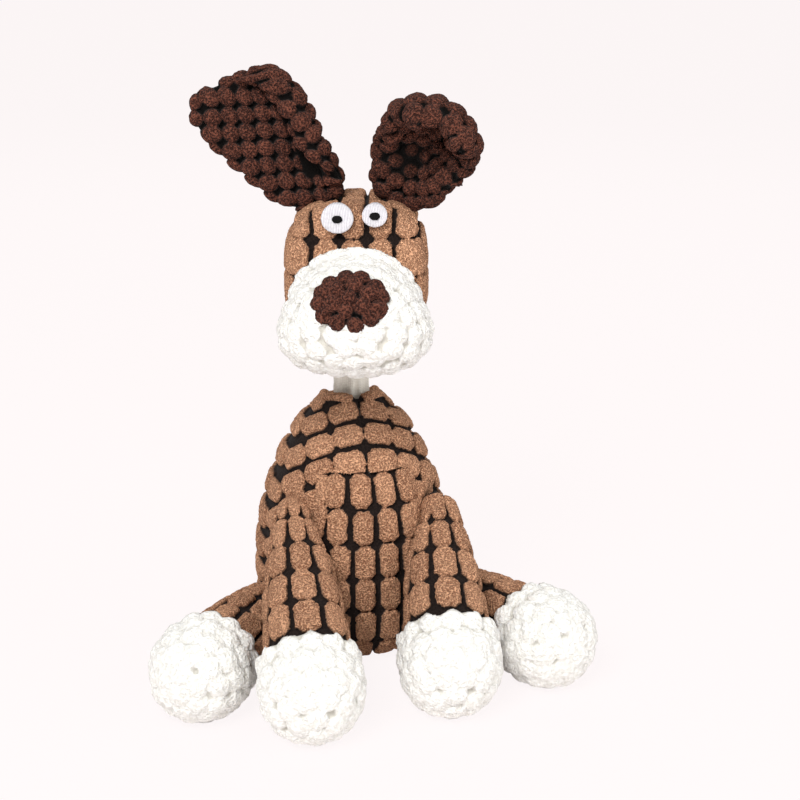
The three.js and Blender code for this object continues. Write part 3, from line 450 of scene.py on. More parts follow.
def joined_copy(nodes: Sequence[Thing], name: str) -> Thing:
    """Copies some solids into one new object with merged corners.

    Args:
        nodes: the solids.
        name: the new object's name.

    Returns:
        The new object.
    """
    copies = [bpy.data.objects.new(name, node.data.copy()) for node in nodes]
    for twin in copies:
        bpy.context.scene.collection.objects.link(twin)
    only(copies[0])
    for twin in copies[1:]:
        twin.select_set(True)
    if len(copies) > 1:
        bpy.ops.object.join()
    body = bpy.context.view_layer.objects.active
    body.data.materials.clear()
    bpy.ops.object.mode_set(mode="EDIT")
    bpy.ops.mesh.select_all(action="SELECT")
    bpy.ops.mesh.remove_doubles(threshold=1e-6)
    bpy.ops.object.mode_set(mode="OBJECT")
    return body


def remeshed(nodes: Sequence[Thing], name: str, voxel: float) -> Thing:
    """Copies some solids into one new object of even faces, of a size in metres."""
    form = joined_copy(nodes, name)
    modify(form, "REMESH", mode="VOXEL", voxel_size=voxel)
    return form


def edit_some(obj: Thing, kind: str, chosen: Points) -> None:
    """Opens a mesh for editing with some of its elements selected.

    Args:
        obj: the object.
        kind: VERT for vertices or FACE for faces.
        chosen: whether each of them is selected.
    """
    only(obj)
    bpy.ops.object.mode_set(mode="EDIT")
    bpy.ops.mesh.select_mode(type=kind)
    bpy.ops.mesh.select_all(action="DESELECT")
    bpy.ops.object.mode_set(mode="OBJECT")
    elements = obj.data.vertices if kind == "VERT" else obj.data.polygons
    elements.foreach_set("select", chosen)
    bpy.ops.object.mode_set(mode="EDIT")


def delete_selected() -> None:
    """Deletes the selected vertices and ends the editing."""
    bpy.ops.mesh.delete(type="VERT")
    bpy.ops.object.mode_set(mode="OBJECT")


def keep_outside(obj: Thing) -> None:
    """Deletes the skins of hollows inside a remeshed form, so that only its outer skin is left."""
    height = points_of(obj)[:, 2]
    edit_some(obj, "VERT", np.arange(len(height)) == height.argmin())
    bpy.ops.mesh.select_linked()
    bpy.ops.mesh.select_all(action="INVERT")
    delete_selected()


def grain(points: Points, size: float, seed: float) -> Points:
    """Smooth noise from about -1 to 1 at some points.

    Args:
        points: the points, one row each.
        size: the noise's lump size, metres.
        seed: moves the noise to another place.

    Returns:
        One number for each point.
    """
    rows = (points / size + seed).tolist()
    return np.fromiter((noise.noise(row) for row in rows), float, len(rows))


def smooth_step(values: Points, low: float, high: float) -> Points:
    """An even rise from 0 at low to 1 at high."""
    share = np.clip((values - low) / (high - low), 0, 1)
    return share * share * (3 - 2 * share)


def unit(vector: Points) -> Points:
    """A vector of length 1, or rows of them."""
    return vector / np.maximum(np.linalg.norm(vector, axis=-1, keepdims=True), TINY)


def runs(line: Points) -> Points:
    """How far along a line of points each of them lies."""
    return np.concatenate(([0.0], np.cumsum(np.linalg.norm(np.diff(line, axis=0), axis=1))))


def length_of(line: Points) -> float:
    """The length of a line of points."""
    return float(np.linalg.norm(np.diff(line, axis=0), axis=1).sum())


def even_steps(line: Points, pitch: float, start: float) -> list[tuple[Points, Points]]:
    """Places at equal steps along a line of points.

    Args:
        line: the line's points, one row each.
        pitch: the step, metres.
        start: where the first place lies along the line.

    Returns:
        Each place with the line's direction there.
    """
    legs = np.diff(line, axis=0)
    lengths = np.linalg.norm(legs, axis=1)
    run = runs(line)
    found = []
    for at in np.arange(start, run[-1], pitch):
        k = min(int(np.searchsorted(run, at, side="right")) - 1, len(legs) - 1)
        share = (at - run[k]) / max(lengths[k], TINY)
        found.append((line[k] + share * legs[k], unit(legs[k])))
    return found


def edge_distance(piece: Thing) -> Points:
    """How far each vertex of an open cover lies from its edge."""
    mesh = piece.data
    count = np.zeros(len(mesh.edges), int)
    np.add.at(count, read(mesh.loops, "edge_index", kind=np.int32), 1)
    rim = np.unique(read(mesh.edges, "vertices", 2, np.int32)[count == 1])
    points = points_of(piece)
    if not len(rim):
        return np.ones(len(points))
    tree = KDTree(len(rim))
    for i, k in enumerate(rim):
        tree.insert(points[k], i)
    tree.balance()
    return np.array([tree.find(row)[2] for row in points.tolist()])


class Skin:
    """A form's surface, to find places on it."""

    def __init__(self, obj: Thing) -> None:
        """Reads an object's mesh."""
        mesh = obj.data
        faces = [tuple(face.vertices) for face in mesh.polygons]
        self.tree = BVHTree.FromPolygons([v.co[:] for v in mesh.vertices], faces)

    def nearest(self, point: Points) -> tuple[Points, Points, float]:
        """The closest place on the surface to a point, the way it faces, and its distance."""
        place, way, _, distance = self.tree.find_nearest(Vector(point))
        return np.array(place), np.array(way), distance

    def outward(self, origin: Points, way: Points) -> Points | None:
        """The place that a ray meets from a point inside the form, or None."""
        place = self.tree.ray_cast(Vector(origin), Vector(way))[0]
        return None if place is None else np.array(place)


# Pile


class Pile(Enum):
    """How tufts stand on their backing."""

    BLOCKS = "cut blocks with straight sides and cropped corners"
    KNOBS = "round knobs"


@dataclass
class Pads:
    """The tufts of one cover: where each sits, how it lies and how large it is."""

    skin: Skin | None
    seed: int
    centres: list[Points] = field(default_factory=list)
    alongs: list[Points] = field(default_factory=list)
    acrosses: list[Points] = field(default_factory=list)
    halves: list[Pair] = field(default_factory=list)
    depths: list[float] = field(default_factory=list)
    nearby: int = 6  # how many tufts are looked at from a point
    batch: int = 8192  # how many points are worked on at once
    depth_share: float = 0.6  # how far off its surface a tuft still holds, as a share of half its length
    face_stray: float = 0.05
    flat_stray: float = 0.08
    crop: Pair = (0.6, 1.28)  # the slope and the place of a block's cropped corners

    def __post_init__(self) -> None:
        """Starts the cover's own random numbers."""
        self.rng = np.random.default_rng(SEED + self.seed)

    def _keep(
        self, place: Points, ways: tuple[Points, Points], half: Pair, off: Points, depth: float
    ) -> None:
        """Notes a tuft that strays by some shares of its size from its place and size."""
        along, across = ways
        self.centres.append(place + along * off[0] * half[0] + across * off[1] * half[1])
        self.alongs.append(along)
        self.acrosses.append(across)
        self.halves.append((half[0] * (1 + off[2] / 2), half[1] * (1 + off[3] / 2)))
        self.depths.append(depth)

    def add(self, place: Points, along: Points, half: Pair, stray: float) -> None:
        """Sets a tuft on the surface.

        Args:
            place: near where it sits.
            along: the way its long side lies.
            half: half its size along and across.
            stray: how far it may sit from its place and differ in size, as a share of its size.
        """
        off = self.rng.uniform(-1, 1, 4) * stray
        spot, way, _ = self.skin.nearest(place)
        across = unit(np.cross(way, along))
        self._keep(spot, (np.cross(across, way), across), half, off, self.depth_share * half[0])

    def face(self, place: Points, along: Points, across: Points, half: Pair, depth: float) -> None:
        """Sets a tuft that lies as seen from straight ahead of it, also where the surface slopes.

        Args:
            place: where it sits.
            along: the way its long side lies.
            across: the way its short side lies.
            half: half its size along and across.
            depth: how far behind or before its place the surface may lie.
        """
        self._keep(place, (along, across), half, self.rng.uniform(-1, 1, 4) * self.face_stray, depth)

    def lay(self, place: Points, along: Points, half: Pair) -> None:
        """Sets a tuft on a flat pattern.

        Args:
            place: where it sits.
            along: the way its length lies.
            half: half its size along and across.
        """
        off = np.append(self.rng.uniform(-1, 1, 2) * self.flat_stray, (0.0, 0.0))
        across = np.array((along[1], -along[0], 0.0))
        self._keep(place, (along, across), half, off, half[0])

    def reach(self, points: Points, pile: Pile) -> tuple[Points, Points]:
        """How far out in its tuft each point lies.

        Args:
            points: the points, one row each.
            pile: the tufts' shape.

        Returns:
            For each point 0 at a tuft's middle, 1 at its edge and more outside, and that tuft's number.
        """
        centres, alongs = np.array(self.centres), np.array(self.alongs)
        acrosses, halves = np.array(self.acrosses), np.array(self.halves)
        outs, depths = np.cross(alongs, acrosses), np.array(self.depths)
        nearby = min(self.nearby, len(centres))
        far, owner = np.empty(len(points)), np.empty(len(points), int)
        for first in range(0, len(points), self.batch):
            some = points[first : first + self.batch]
            rows = np.arange(len(some))
            gap = ((some[:, None, :] - centres[None]) ** 2).sum(-1)
            near = np.argpartition(gap, nearby - 1, axis=1)[:, :nearby]
            offset = some[:, None, :] - centres[near]
            x = np.abs((offset * alongs[near]).sum(-1)) / halves[near, 0]
            y = np.abs((offset * acrosses[near]).sum(-1)) / halves[near, 1]
            if pile is Pile.BLOCKS:
                z = np.abs((offset * outs[near]).sum(-1)) / depths[near]
                corner = (x + self.crop[0] * y) / self.crop[1]
                q = np.maximum(np.maximum(x, y), np.maximum(corner, z))
            elif self.skin is None:
                q = np.hypot(x, y)
            else:
                q = np.sqrt(gap[rows[:, None], near]) / halves[near, 0]
            best = q.argmin(1)
            far[first : first + self.batch] = q[rows, best]
            owner[first : first + self.batch] = near[rows, best]
        return far, owner


@dataclass(frozen=True)
class Relief:
    """How high a cover's tufts stand, and how their curls and edges break up."""

    pile: Pile
    height: float
    fullness: float  # the power of a tuft's outline: more is flatter on top
    ragged: float  # how far the edges wander, as a share of the tuft
    curl_height: float
    curl_size: float
    seam: float  # the share of the height that is left at a seam
    filled: float = 0.0  # how much of the height the valleys between tufts keep
    soft: int = 0  # rounds of smoothing
    seam_reach: float = 0.004
    wander_sizes: Pair = (0.0034, 0.0013)

    def raise_on(
        self,
        piece: Thing,
        pads: Pads,
        ways: Points | None = None,
        flat: Points | None = None,
        share: Points | float = 1.0,
    ) -> None:
        """Raises the tufts on a cover and stores where pile stands, lowered where it is pressed so that the
        knit shows there as painted shade, its tone and its curls.

        Args:
            piece: the cover, a smooth surface so far.
            pads: its tufts.
            ways: the way the pile stands at each vertex, or None for straight out.
            flat: each vertex's place on the tufts' flat pattern, or None where they lie in space.
            share: how much of the height the pile has at each vertex, where it is pressed down; the stored
                pile is lowered by it too, which paints shade there.
        """
        points = points_of(piece)
        normals = normals_of(piece) if ways is None else ways
        wide, narrow = self.wander_sizes
        wander = 0.8 * grain(points, wide, 3.1) + grain(points, narrow, 8.7)
        far, owner = pads.reach(points if flat is None else flat, self.pile)
        far = far + self.ragged * wander
        stand = np.maximum(1 - np.maximum(far, 0) ** self.fullness, 0) ** 0.5
        stand *= self.seam + (1 - self.seam) * smooth_step(edge_distance(piece), 0, self.seam_reach)
        curl = grain(points, self.curl_size, 5.3)
        fine = grain(points, self.curl_size * 0.5, 1.9)
        rise = self.filled + (1 - self.filled) * stand
        lift = self.height * rise * share + self.curl_height * (curl + 0.6 * fine) * np.minimum(1, 2 * rise)
        raised = points + normals * lift[:, None]
        raised[:, 2] = np.maximum(raised[:, 2], FLOOR_SKIN)
        put_points(piece, raised)
        if self.soft:
            smooth(piece, self.soft)
        tones = pads.rng.uniform(-1, 1, len(pads.centres))
        # Pressed pile is stored lower, so the knit's colour shows there as painted shade.
        keep_values(piece, pile=stand * share, tone=tones[owner], curl=0.5 + 0.6 * curl + 0.3 * fine)


BLOCK_RELIEF = Relief(Pile.BLOCKS, 0.0034, 7.0, 0.07, 0.0003, 0.0014, seam=0.8)
WHITE_RELIEF = Relief(Pile.KNOBS, 0.0044, 2.2, 0.05, 0.0005, 0.0017, seam=1.0, filled=0.2, soft=2)
MUZZLE_RELIEF = Relief(Pile.KNOBS, 0.0034, 2.0, 0.05, 0.0005, 0.0017, seam=1.0, filled=0.2, soft=2)
DARK_RELIEF = Relief(Pile.KNOBS, 0.0042, 2.2, 0.05, 0.0003, 0.0014, seam=1.0)


# Stuffed forms


@dataclass
class StuffedForm:
    """A form of one or more covers round their stuffing, puffed out between its seams."""

    name: str
    covers: list[str]
    fillings: list[str]
    voxel: float = 0.0056
    levels: int = 3
    pressure: float = 4.0
    quality: int = 5
    frames: int = 20
    most: float = 0.0022  # how far the cloth may move
    seam_reach: float = 0.005
    floor_reach: float = 0.006  # cloth below here is held by the floor
    smoothing: int = 3
    share: Callable[[Points], Points] | None = None  # the number of the cover that a point belongs to
    level: Callable[[Points], Points] | None = None  # the smooth skin's place near a point of a quilted solid

    def build(self, nodes: dict[str, Thing]) -> dict[str, Thing]:
        """Makes the form and splits it along its seams.

        Args:
            nodes: the frame's solids by name.

        Returns:
            A smooth open cover for each cover's name.
        """
        form = remeshed([nodes[n] for n in [*self.covers, *self.fillings]], self.name, self.voxel)
        keep_outside(form)
        if self.level is not None:
            put_points(form, self.level(points_of(form)))
        put_points(form, points_of(form) - normals_of(form) * BACKING_DEPTH)
        skins = [Skin(nodes[n]) for n in self.covers]
        self._puff(form, skins)
        smooth(form, self.smoothing)
        modify(form, "SUBSURF", levels=self.levels, render_levels=self.levels)
        return self._split(form, skins)

    def _gaps(self, points: Points, skins: list[Skin]) -> Points:
        """The distance of each point to each cover, one column for each cover."""
        return np.array([[skin.nearest(row)[2] for skin in skins] for row in points])

    def _puff(self, form: Thing, skins: list[Skin]) -> None:
        """Blows the form up a little between its covers' seams, which are held."""
        rest = points_of(form)
        gaps = np.sort(self._gaps(rest, skins), axis=1)
        held = rest[:, 2] < self.floor_reach
        if len(skins) > 1:
            held |= gaps[:, 1] - gaps[:, 0] < self.seam_reach
        group = form.vertex_groups.new(name="seams")
        group.add(np.flatnonzero(held).tolist(), 1.0, "REPLACE")
        cloth = form.modifiers.new("puff", "CLOTH")
        cloth.settings.quality = self.quality
        cloth.settings.use_pressure = True
        cloth.settings.uniform_pressure_force = self.pressure
        cloth.settings.effector_weights.gravity = 0
        cloth.settings.vertex_group_mass = group.name
        scene = bpy.context.scene
        for at in range(1, self.frames + 1):
            scene.frame_set(at)
        only(form)
        bpy.ops.object.modifier_apply(modifier=cloth.name)
        scene.frame_set(1)
        step = points_of(form) - rest
        length = np.linalg.norm(step, axis=1, keepdims=True)
        put_points(form, rest + step * np.minimum(1, self.most / np.maximum(length, TINY)))
        form.vertex_groups.clear()

    def _split(self, form: Thing, skins: list[Skin]) -> dict[str, Thing]:
        """Separates the covers, into an open one for each name."""
        if len(skins) == 1:
            return {self.covers[0]: form}
        points = points_of(form)
        nearest = self._gaps(points, skins).argmin(1) if self.share is None else self.share(points)
        keep_values(form, cover=nearest.astype(float))
        made = {}
        for k, name in list(enumerate(self.covers))[1:]:
            cover = kept_values(form, "cover")[read(form.data.loops, "vertex_index", kind=np.int32)]
            edit_some(form, "FACE", (np.abs(cover.reshape(-1, 4) - k) < 0.5).sum(1) >= 2)
            bpy.ops.mesh.separate(type="SELECTED")
            bpy.ops.object.mode_set(mode="OBJECT")
            made[name] = next(o for o in bpy.context.selected_objects if o != form)
        made[self.covers[0]] = form
        return made


class Dresser:
    """Gives finished pieces their name, finish and place in the frame."""

    def __init__(self, frame: dict) -> None:
        self.nodes: dict[str, Thing] = frame["nodes"]
        self.joints: dict[str, dict] = {joint["name"]: joint for joint in frame["joints"]}
        self.materials: dict[str, bpy.types.Material] = {}

    def material(self, finish: Finish) -> bpy.types.Material:
        """The finish's material, made once."""
        if finish.slot not in self.materials:
            self.materials[finish.slot] = finish.material()
        return self.materials[finish.slot]

    def paint(self, piece: Thing, finish: Finish) -> None:
        """Gives a piece its finish alone."""
        piece.data.materials.clear()
        piece.data.materials.append(self.material(finish))

    def settle(
        self,
        piece: Thing,
        name: str,
        body: str,
        finish: Finish,
        sewn: tuple[str, Points, Points] | None = None,
    ) -> None:
        """Puts a finished piece in place of the solid it stands for, and on its body unless its root is sewn
        on.

        Args:
            piece: the piece, in place.
            name: the solid's name.
            body: the body it moves with.
            finish: its finish.
            sewn: for a piece whose root is sewn on, the body it is sewn to and where its bend starts and
                ends, none of which is used; the piece is left where it is. None otherwise.
        """
        piece.name = name + "_cloth"
        piece.data.name = piece.name
        self.paint(piece, finish)
        only(piece)
        bpy.ops.object.shade_smooth()
        if sewn is None:
            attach(piece, body)
        else:
            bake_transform(piece)
        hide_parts(name)
        log.info("%s: %d faces", piece.name, len(piece.data.polygons))

    def pivot(self, joint: str) -> Points:
        """A hinge's place."""
        return np.array(self.joints[joint]["pos_m"])

    def axis(self, joint: str) -> Points:
        """A joint's direction."""
        return unit(np.array(self.joints[joint]["axis"], float))


# The dog


class Part(ABC):
    """A part of the dog."""

    @abstractmethod
    def build(self, dresser: Dresser) -> None:
        """Makes the part's pieces.

        Args:
            dresser: dresses the pieces.
        """


@dataclass
class Torso(Part):
    """The sitting body: two side panels with lying blocks, and a belly panel with upright ones."""

    radius: float = 0.049
    widest: float = 0.044
    height: float = 0.129
    collar: float = 0.0135
    collar_lift: float = 0.004  # how much higher the collar is in front
    collar_tufts: int = 4  # on each side
    seat: float = 0.03
    dome_power: float = 1.8
    seat_power: float = 4.0
    block_length: float = 0.0168
    block_width: float = 0.013
    chest_seam: float = 0.097
    belly_aside: float = 0.002  # how far the belly's columns lie off the middle
    row_drop: float = 0.0287  # how far a row of lying blocks falls from the chest towards the side
    row_level: float = math.radians(77)  # the angle from straight ahead past which it runs level
    groove_depth: float = 0.0035  # the deepest groove of the quilted solid
    gap_share: float = 0.415  # half of a block's width, as a share of its pitch
    stray: float = 0.06  # of a block, as a share of its size
    lift_reach: Pair = (-0.002, 0.005)  # where the collar's lift is full and where it ends, from its edge
    press: float = 0.35  # how far the pile under the head is pressed down, as a share
    press_drop: Pair = (0.018, 0.004)  # from the top to where that starts and where it is full
    collar_half: Pair = (0.45, 0.004)  # half a collar tuft: a share of its pitch, and its width
    collar_stray: float = 0.1
    seat_half: Pair = (0.49, 0.435)  # half of a block under the seat, as shares of its pitch
    seat_stray: float = 0.05
    fill: float = 0.7

    def build(self, dresser: Dresser) -> None:
        """Makes the three panels."""
        sides = {"torso_side_right": -1, "torso_side_left": 1, "belly_panel": 0}
        inside = ["torso_stuffing_front", "torso_stuffing_rear"]
        inside += ["squeaker_base", "squeaker_bellows", "squeaker_crown"]
        panels = StuffedForm("torso", list(sides), inside, level=self._level).build(dresser.nodes)
        for seed, (name, side) in enumerate(sides.items()):
            piece = panels[name]
            self._raise_collar(piece)
            pads = Pads(Skin(piece), seed)
            if side:
                self._lying_blocks(pads, side)
            else:
                self._upright_blocks(pads)
            low, high = (self.height - drop for drop in self.press_drop)
            pressed = 1 - self.press * smooth_step(points_of(piece)[:, 2], low, high)
            BLOCK_RELIEF.raise_on(piece, pads, share=pressed)
            hem(piece)
            dresser.settle(piece, name, "torso", BROWN)

    def _raise_collar(self, piece: Thing) -> None:
        """Lifts the cloth in front of the neck, which it is gathered round."""
        points = points_of(piece)
        reach = np.hypot(points[:, 0], points[:, 1])
        near = 1 - smooth_step(reach, *(self.collar + at for at in self.lift_reach))
        near *= points[:, 2] > self.widest
        ahead = 0.5 - 0.5 * points[:, 1] / np.maximum(reach, TINY)
        points[:, 2] += self.collar_lift * near * ahead
        put_points(piece, points)

    def radius_at(self, z: Points | float) -> Points:
        """The torso's radius at heights."""
        z = np.asarray(z, float)
        up = z > self.widest
        end = np.where(up, self.collar, self.seat)
        span = np.where(up, self.height - self.widest, self.widest)
        root = np.where(up, self.dome_power, 2.0)
        power = np.where(up, self.dome_power, self.seat_power)
        share = np.minimum(np.abs(z - self.widest) / span, 1.0) ** power
        return (self.radius**root * (1 - share) + end**root * share) ** (1 / root)

    def _level(self, points: Points) -> Points:
        """The points of the quilted solid's side, moved out of its grooves to the smooth skin."""
        gap = self.radius_at(points[:, 2]) - np.hypot(points[:, 0], points[:, 1])
        share = 1 - smooth_step(np.abs(gap), self.groove_depth, 2 * self.groove_depth)
        share *= smooth_step(points[:, 2], 0.0, self.groove_depth)
        return points + unit(points * LEVEL) * (gap * share)[:, None]

    def on_skin(self, z: float, angle: float, depth: float) -> Points:
        """The place at a height, at an angle from straight ahead (left positive) and at a depth."""
        radius = float(self.radius_at(z)) - depth
        return np.array((radius * math.sin(angle), -radius * math.cos(angle), z))

    def _chest(self, way: int) -> Points:
        """The line on the chest from the belly panel's top, up past the collar or down to the floor."""
        end = self.height if way > 0 else 0.0
        line = [self.on_skin(z, 0.0, 0.0) for z in np.linspace(self.chest_seam, end, LINE_SAMPLES)]
        return np.array(line + [line[-1] + k * (line[-1] - line[-2]) for k in range(1, 40)])

    def _row(self, rise: float, side: int, depth: float) -> Points:
        """A row's line from the chest to the middle of the back, by its height on the chest."""
        most = self.row_drop * float(self.radius_at(rise)) / self.radius
        line = []
        for angle in np.linspace(0, math.pi, LINE_SAMPLES):
            fall = most * min(1.0, (1 - math.cos(angle)) / (1 - math.cos(self.row_level)))
            line.append(self.on_skin(rise - fall, side * angle, depth))
        return np.array(line)

    def _lying_blocks(self, pads: Pads, side: int) -> None:
        """Rows of blocks that start at the chest seam and fall towards the side, and tufts round the collar.

        Args:
            pads: takes the blocks.
            side: -1 for the right panel, 1 for the left.
        """
        for way in (-1, 1):
            for chest, _ in even_steps(self._chest(way), self.block_width, self.block_width * 0.5):
                count = max(1, round(length_of(self._row(chest[2], side, 0.0)) / self.block_length))
                row = self._row(chest[2], side, BACKING_DEPTH)
                pitch = length_of(row) / count
                for place, along in even_steps(row, pitch, pitch * 0.5):
                    if 0.0 <= place[2] <= self.height:
                        pads.add(place, along, (pitch * 0.5, self.block_width * self.gap_share), self.stray)
        for angle in math.pi * (np.arange(self.collar_tufts) + 0.5) / self.collar_tufts:
            place = self.on_skin(self.height, side * angle, BACKING_DEPTH)
            place[2] += self.collar_lift * (0.5 + 0.5 * math.cos(angle))
            along = np.array((math.cos(side * angle), math.sin(side * angle), 0.0))
            half_length = math.pi * self.collar / self.collar_tufts * self.collar_half[0]
            pads.add(place, along, (half_length, self.collar_half[1]), self.collar_stray)

    def _upright_blocks(self, pads: Pads) -> None:
        """Rows of upright blocks down the belly, and columns of them under the seat."""
        turn = self.belly_aside / self.radius
        for chest, _ in even_steps(self._chest(-1), self.block_length, self.block_length * 0.5):
            if chest[2] < 0:
                break
            radius = float(self.radius_at(chest[2]))
            count = max(1, round(math.pi * radius / self.block_width))
            half = self.gap_share * math.pi * (radius - BACKING_DEPTH) / count
            for k in range(-4, 4):
                place = self.on_skin(chest[2], turn + math.pi * (k + 0.5) / count, BACKING_DEPTH)
                pads.add(place, -UP, (self.block_length * BLOCK_SHARE, half), self.stray)
        for i in range(-2, 3):
            for j in range(3):
                place = np.array((i * self.block_width, -self.seat + (j + 1) * self.block_length, 0.0))
                half = (self.block_length * self.seat_half[0], self.block_width * self.seat_half[1])
                pads.add(place, np.array((0.0, 1.0, 0.0)), half, self.seat_stray)


@dataclass
class Leg(Part):
    """A stuffed leg: a brown sleeve of upright blocks and a white paw of knobs."""

    name: str
    joint: str
    length: float
    root_radius: float
    cuff_radius: float
    paw_radius: float
    seed: int
    paw_length: float = 0.02
    columns: int = 8
    block_length: float = 0.0172
    gap_share: float = 0.405  # half of a block's width, as a share of its pitch
    knob: float = 0.0104
    cuff_shift: float = 0.004  # from the solid's cuff to the paw's edge
    swell: float = 0.0012  # how much fuller the paw is than its solid
    cuff_swell: float = 0.002  # and at its edge, on top of that
    scallop: float = 0.0022  # how far the paw's edge goes in and out with its knobs
    fray: float = 0.0008
    lap: float = 0.001  # how far the paw's edge lies over the sleeve
    lap_swing: float = 0.002
    lap_reach: float = 0.006
    first_block: float = 0.45  # from the cuff to the first blocks, as a share of their length
    least_radius: float = 0.004
    first_knob: float = 0.35  # from the paw's edge to the first ring, as a share of a knob
    ring_step: float = 0.93  # from ring to ring
    knob_half: float = 0.57
    block_stray: float = 0.06
    knob_stray: float = 0.1
    sleeve_fill: float = 0.8
    paw_fill: float = 0.9

    def build(self, dresser: Dresser) -> None:
        """Makes the sleeve and the paw."""
        body, sleeve, paw = (self.name + end for end in ("_leg", "_leg_sleeve", "_paw"))
        self.root = dresser.pivot(self.joint)
        self.way = unit(points_of(dresser.nodes[paw]).mean(0) - self.root)
        self.side = unit(np.cross(self.way, UP))
        self.top = np.cross(self.side, self.way)
        form = StuffedForm(self.name, [sleeve, paw], [body + "_stuffing"], share=self._is_paw)
        covers = form.build(dresser.nodes)
        blocks = Pads(Skin(covers[sleeve]), self.seed)
        self._blocks(blocks)
        BLOCK_RELIEF.raise_on(covers[sleeve], blocks)
        hem(covers[sleeve])
        dresser.settle(covers[sleeve], sleeve, body, BROWN)
        knobs = Pads(Skin(covers[paw]), self.seed + 1)
        self._knobs(knobs)
        self._lap_over_cuff(covers[paw])
        WHITE_RELIEF.raise_on(covers[paw], knobs)
        hem(covers[paw])
        dresser.settle(covers[paw], paw, body, WHITE)

    def _past_cuff(self, points: Points) -> Points:
        """How far points lie beyond the cuff along the leg."""
        return (points - self.root) @ self.way - (self.length - self.paw_length)

    def _is_paw(self, points: Points) -> Points:
        """1 for points on the paw, 0 for those on the sleeve."""
        count = round(TURN * self.cuff_radius / self.knob)
        offset = points - self.root
        angle = np.arctan2(offset @ self.side, offset @ self.top)
        wave = self.scallop * np.abs(np.sin(angle * count / 2)) + self.fray * grain(points, 0.004, 7.7)
        return self._past_cuff(points) > self.cuff_shift + wave

    def _around(self, run: float, radius: float, angle: float) -> Points:
        """The place at a run along the leg, a distance from its middle line and an angle from its top."""
        out = self.top * math.cos(angle) + self.side * math.sin(angle)
        return self.root + self.way * run + radius * out

    def _blocks(self, pads: Pads) -> None:
        """Columns of blocks along the sleeve, narrower where the leg is."""
        cuff = self.length - self.paw_length
        first = cuff - self.block_length * self.first_block
        for run in np.arange(first, -self.root_radius, -self.block_length):
            share = min(max(run / cuff, 0), 1)
            radius = self.root_radius + (self.cuff_radius - self.root_radius) * math.sin(share * math.pi / 2)
            if run < 0:
                radius = math.sqrt(max(self.root_radius**2 - run**2, 1e-6))
            half = self.gap_share * TURN * max(radius - BACKING_DEPTH, self.least_radius) / self.columns
            for column in range(self.columns):
                place = self._around(run, radius, TURN * column / self.columns)
                pads.add(place, self.way, (self.block_length * BLOCK_SHARE, half), self.block_stray)

    def _knobs(self, pads: Pads) -> None:
        """Rings of knobs round the paw, down to one at its end."""
        line = [(self.length - self.paw_length, self.cuff_radius, 0.0)]
        for angle in np.linspace(0, math.pi / 2, 40):
            run = self.length + self.paw_radius * math.sin(angle)
            line.append((run, self.paw_radius * math.cos(angle), 0.0))
        start = self.cuff_shift + self.knob * self.first_knob
        half = self.knob * self.knob_half
        rings = even_steps(np.array(line), self.knob * self.ring_step, start)
        for ring, ((run, radius, _), _) in enumerate(rings):
            count = max(1, round(TURN * radius / self.knob))
            for k in range(count):
                spot = self._around(run, radius, TURN * (k + 0.5 * (ring % 2)) / count)
                pads.add(spot, self.way, (half, half), self.knob_stray)

    def _lap_over_cuff(self, paw: Thing) -> None:
        """Draws the paw's edge out over the sleeve, more under a knob than between two."""
        points = points_of(paw)
        near = 1 - smooth_step(self._past_cuff(points) - self.cuff_shift, 0.0, self.lap_reach)
        lap = near * (self.lap + self.lap_swing * grain(points, 0.006, 2.2))
        swell = near * self.cuff_swell + self.swell
        put_points(paw, points - self.way * lap[:, None] + normals_of(paw) * swell[:, None])


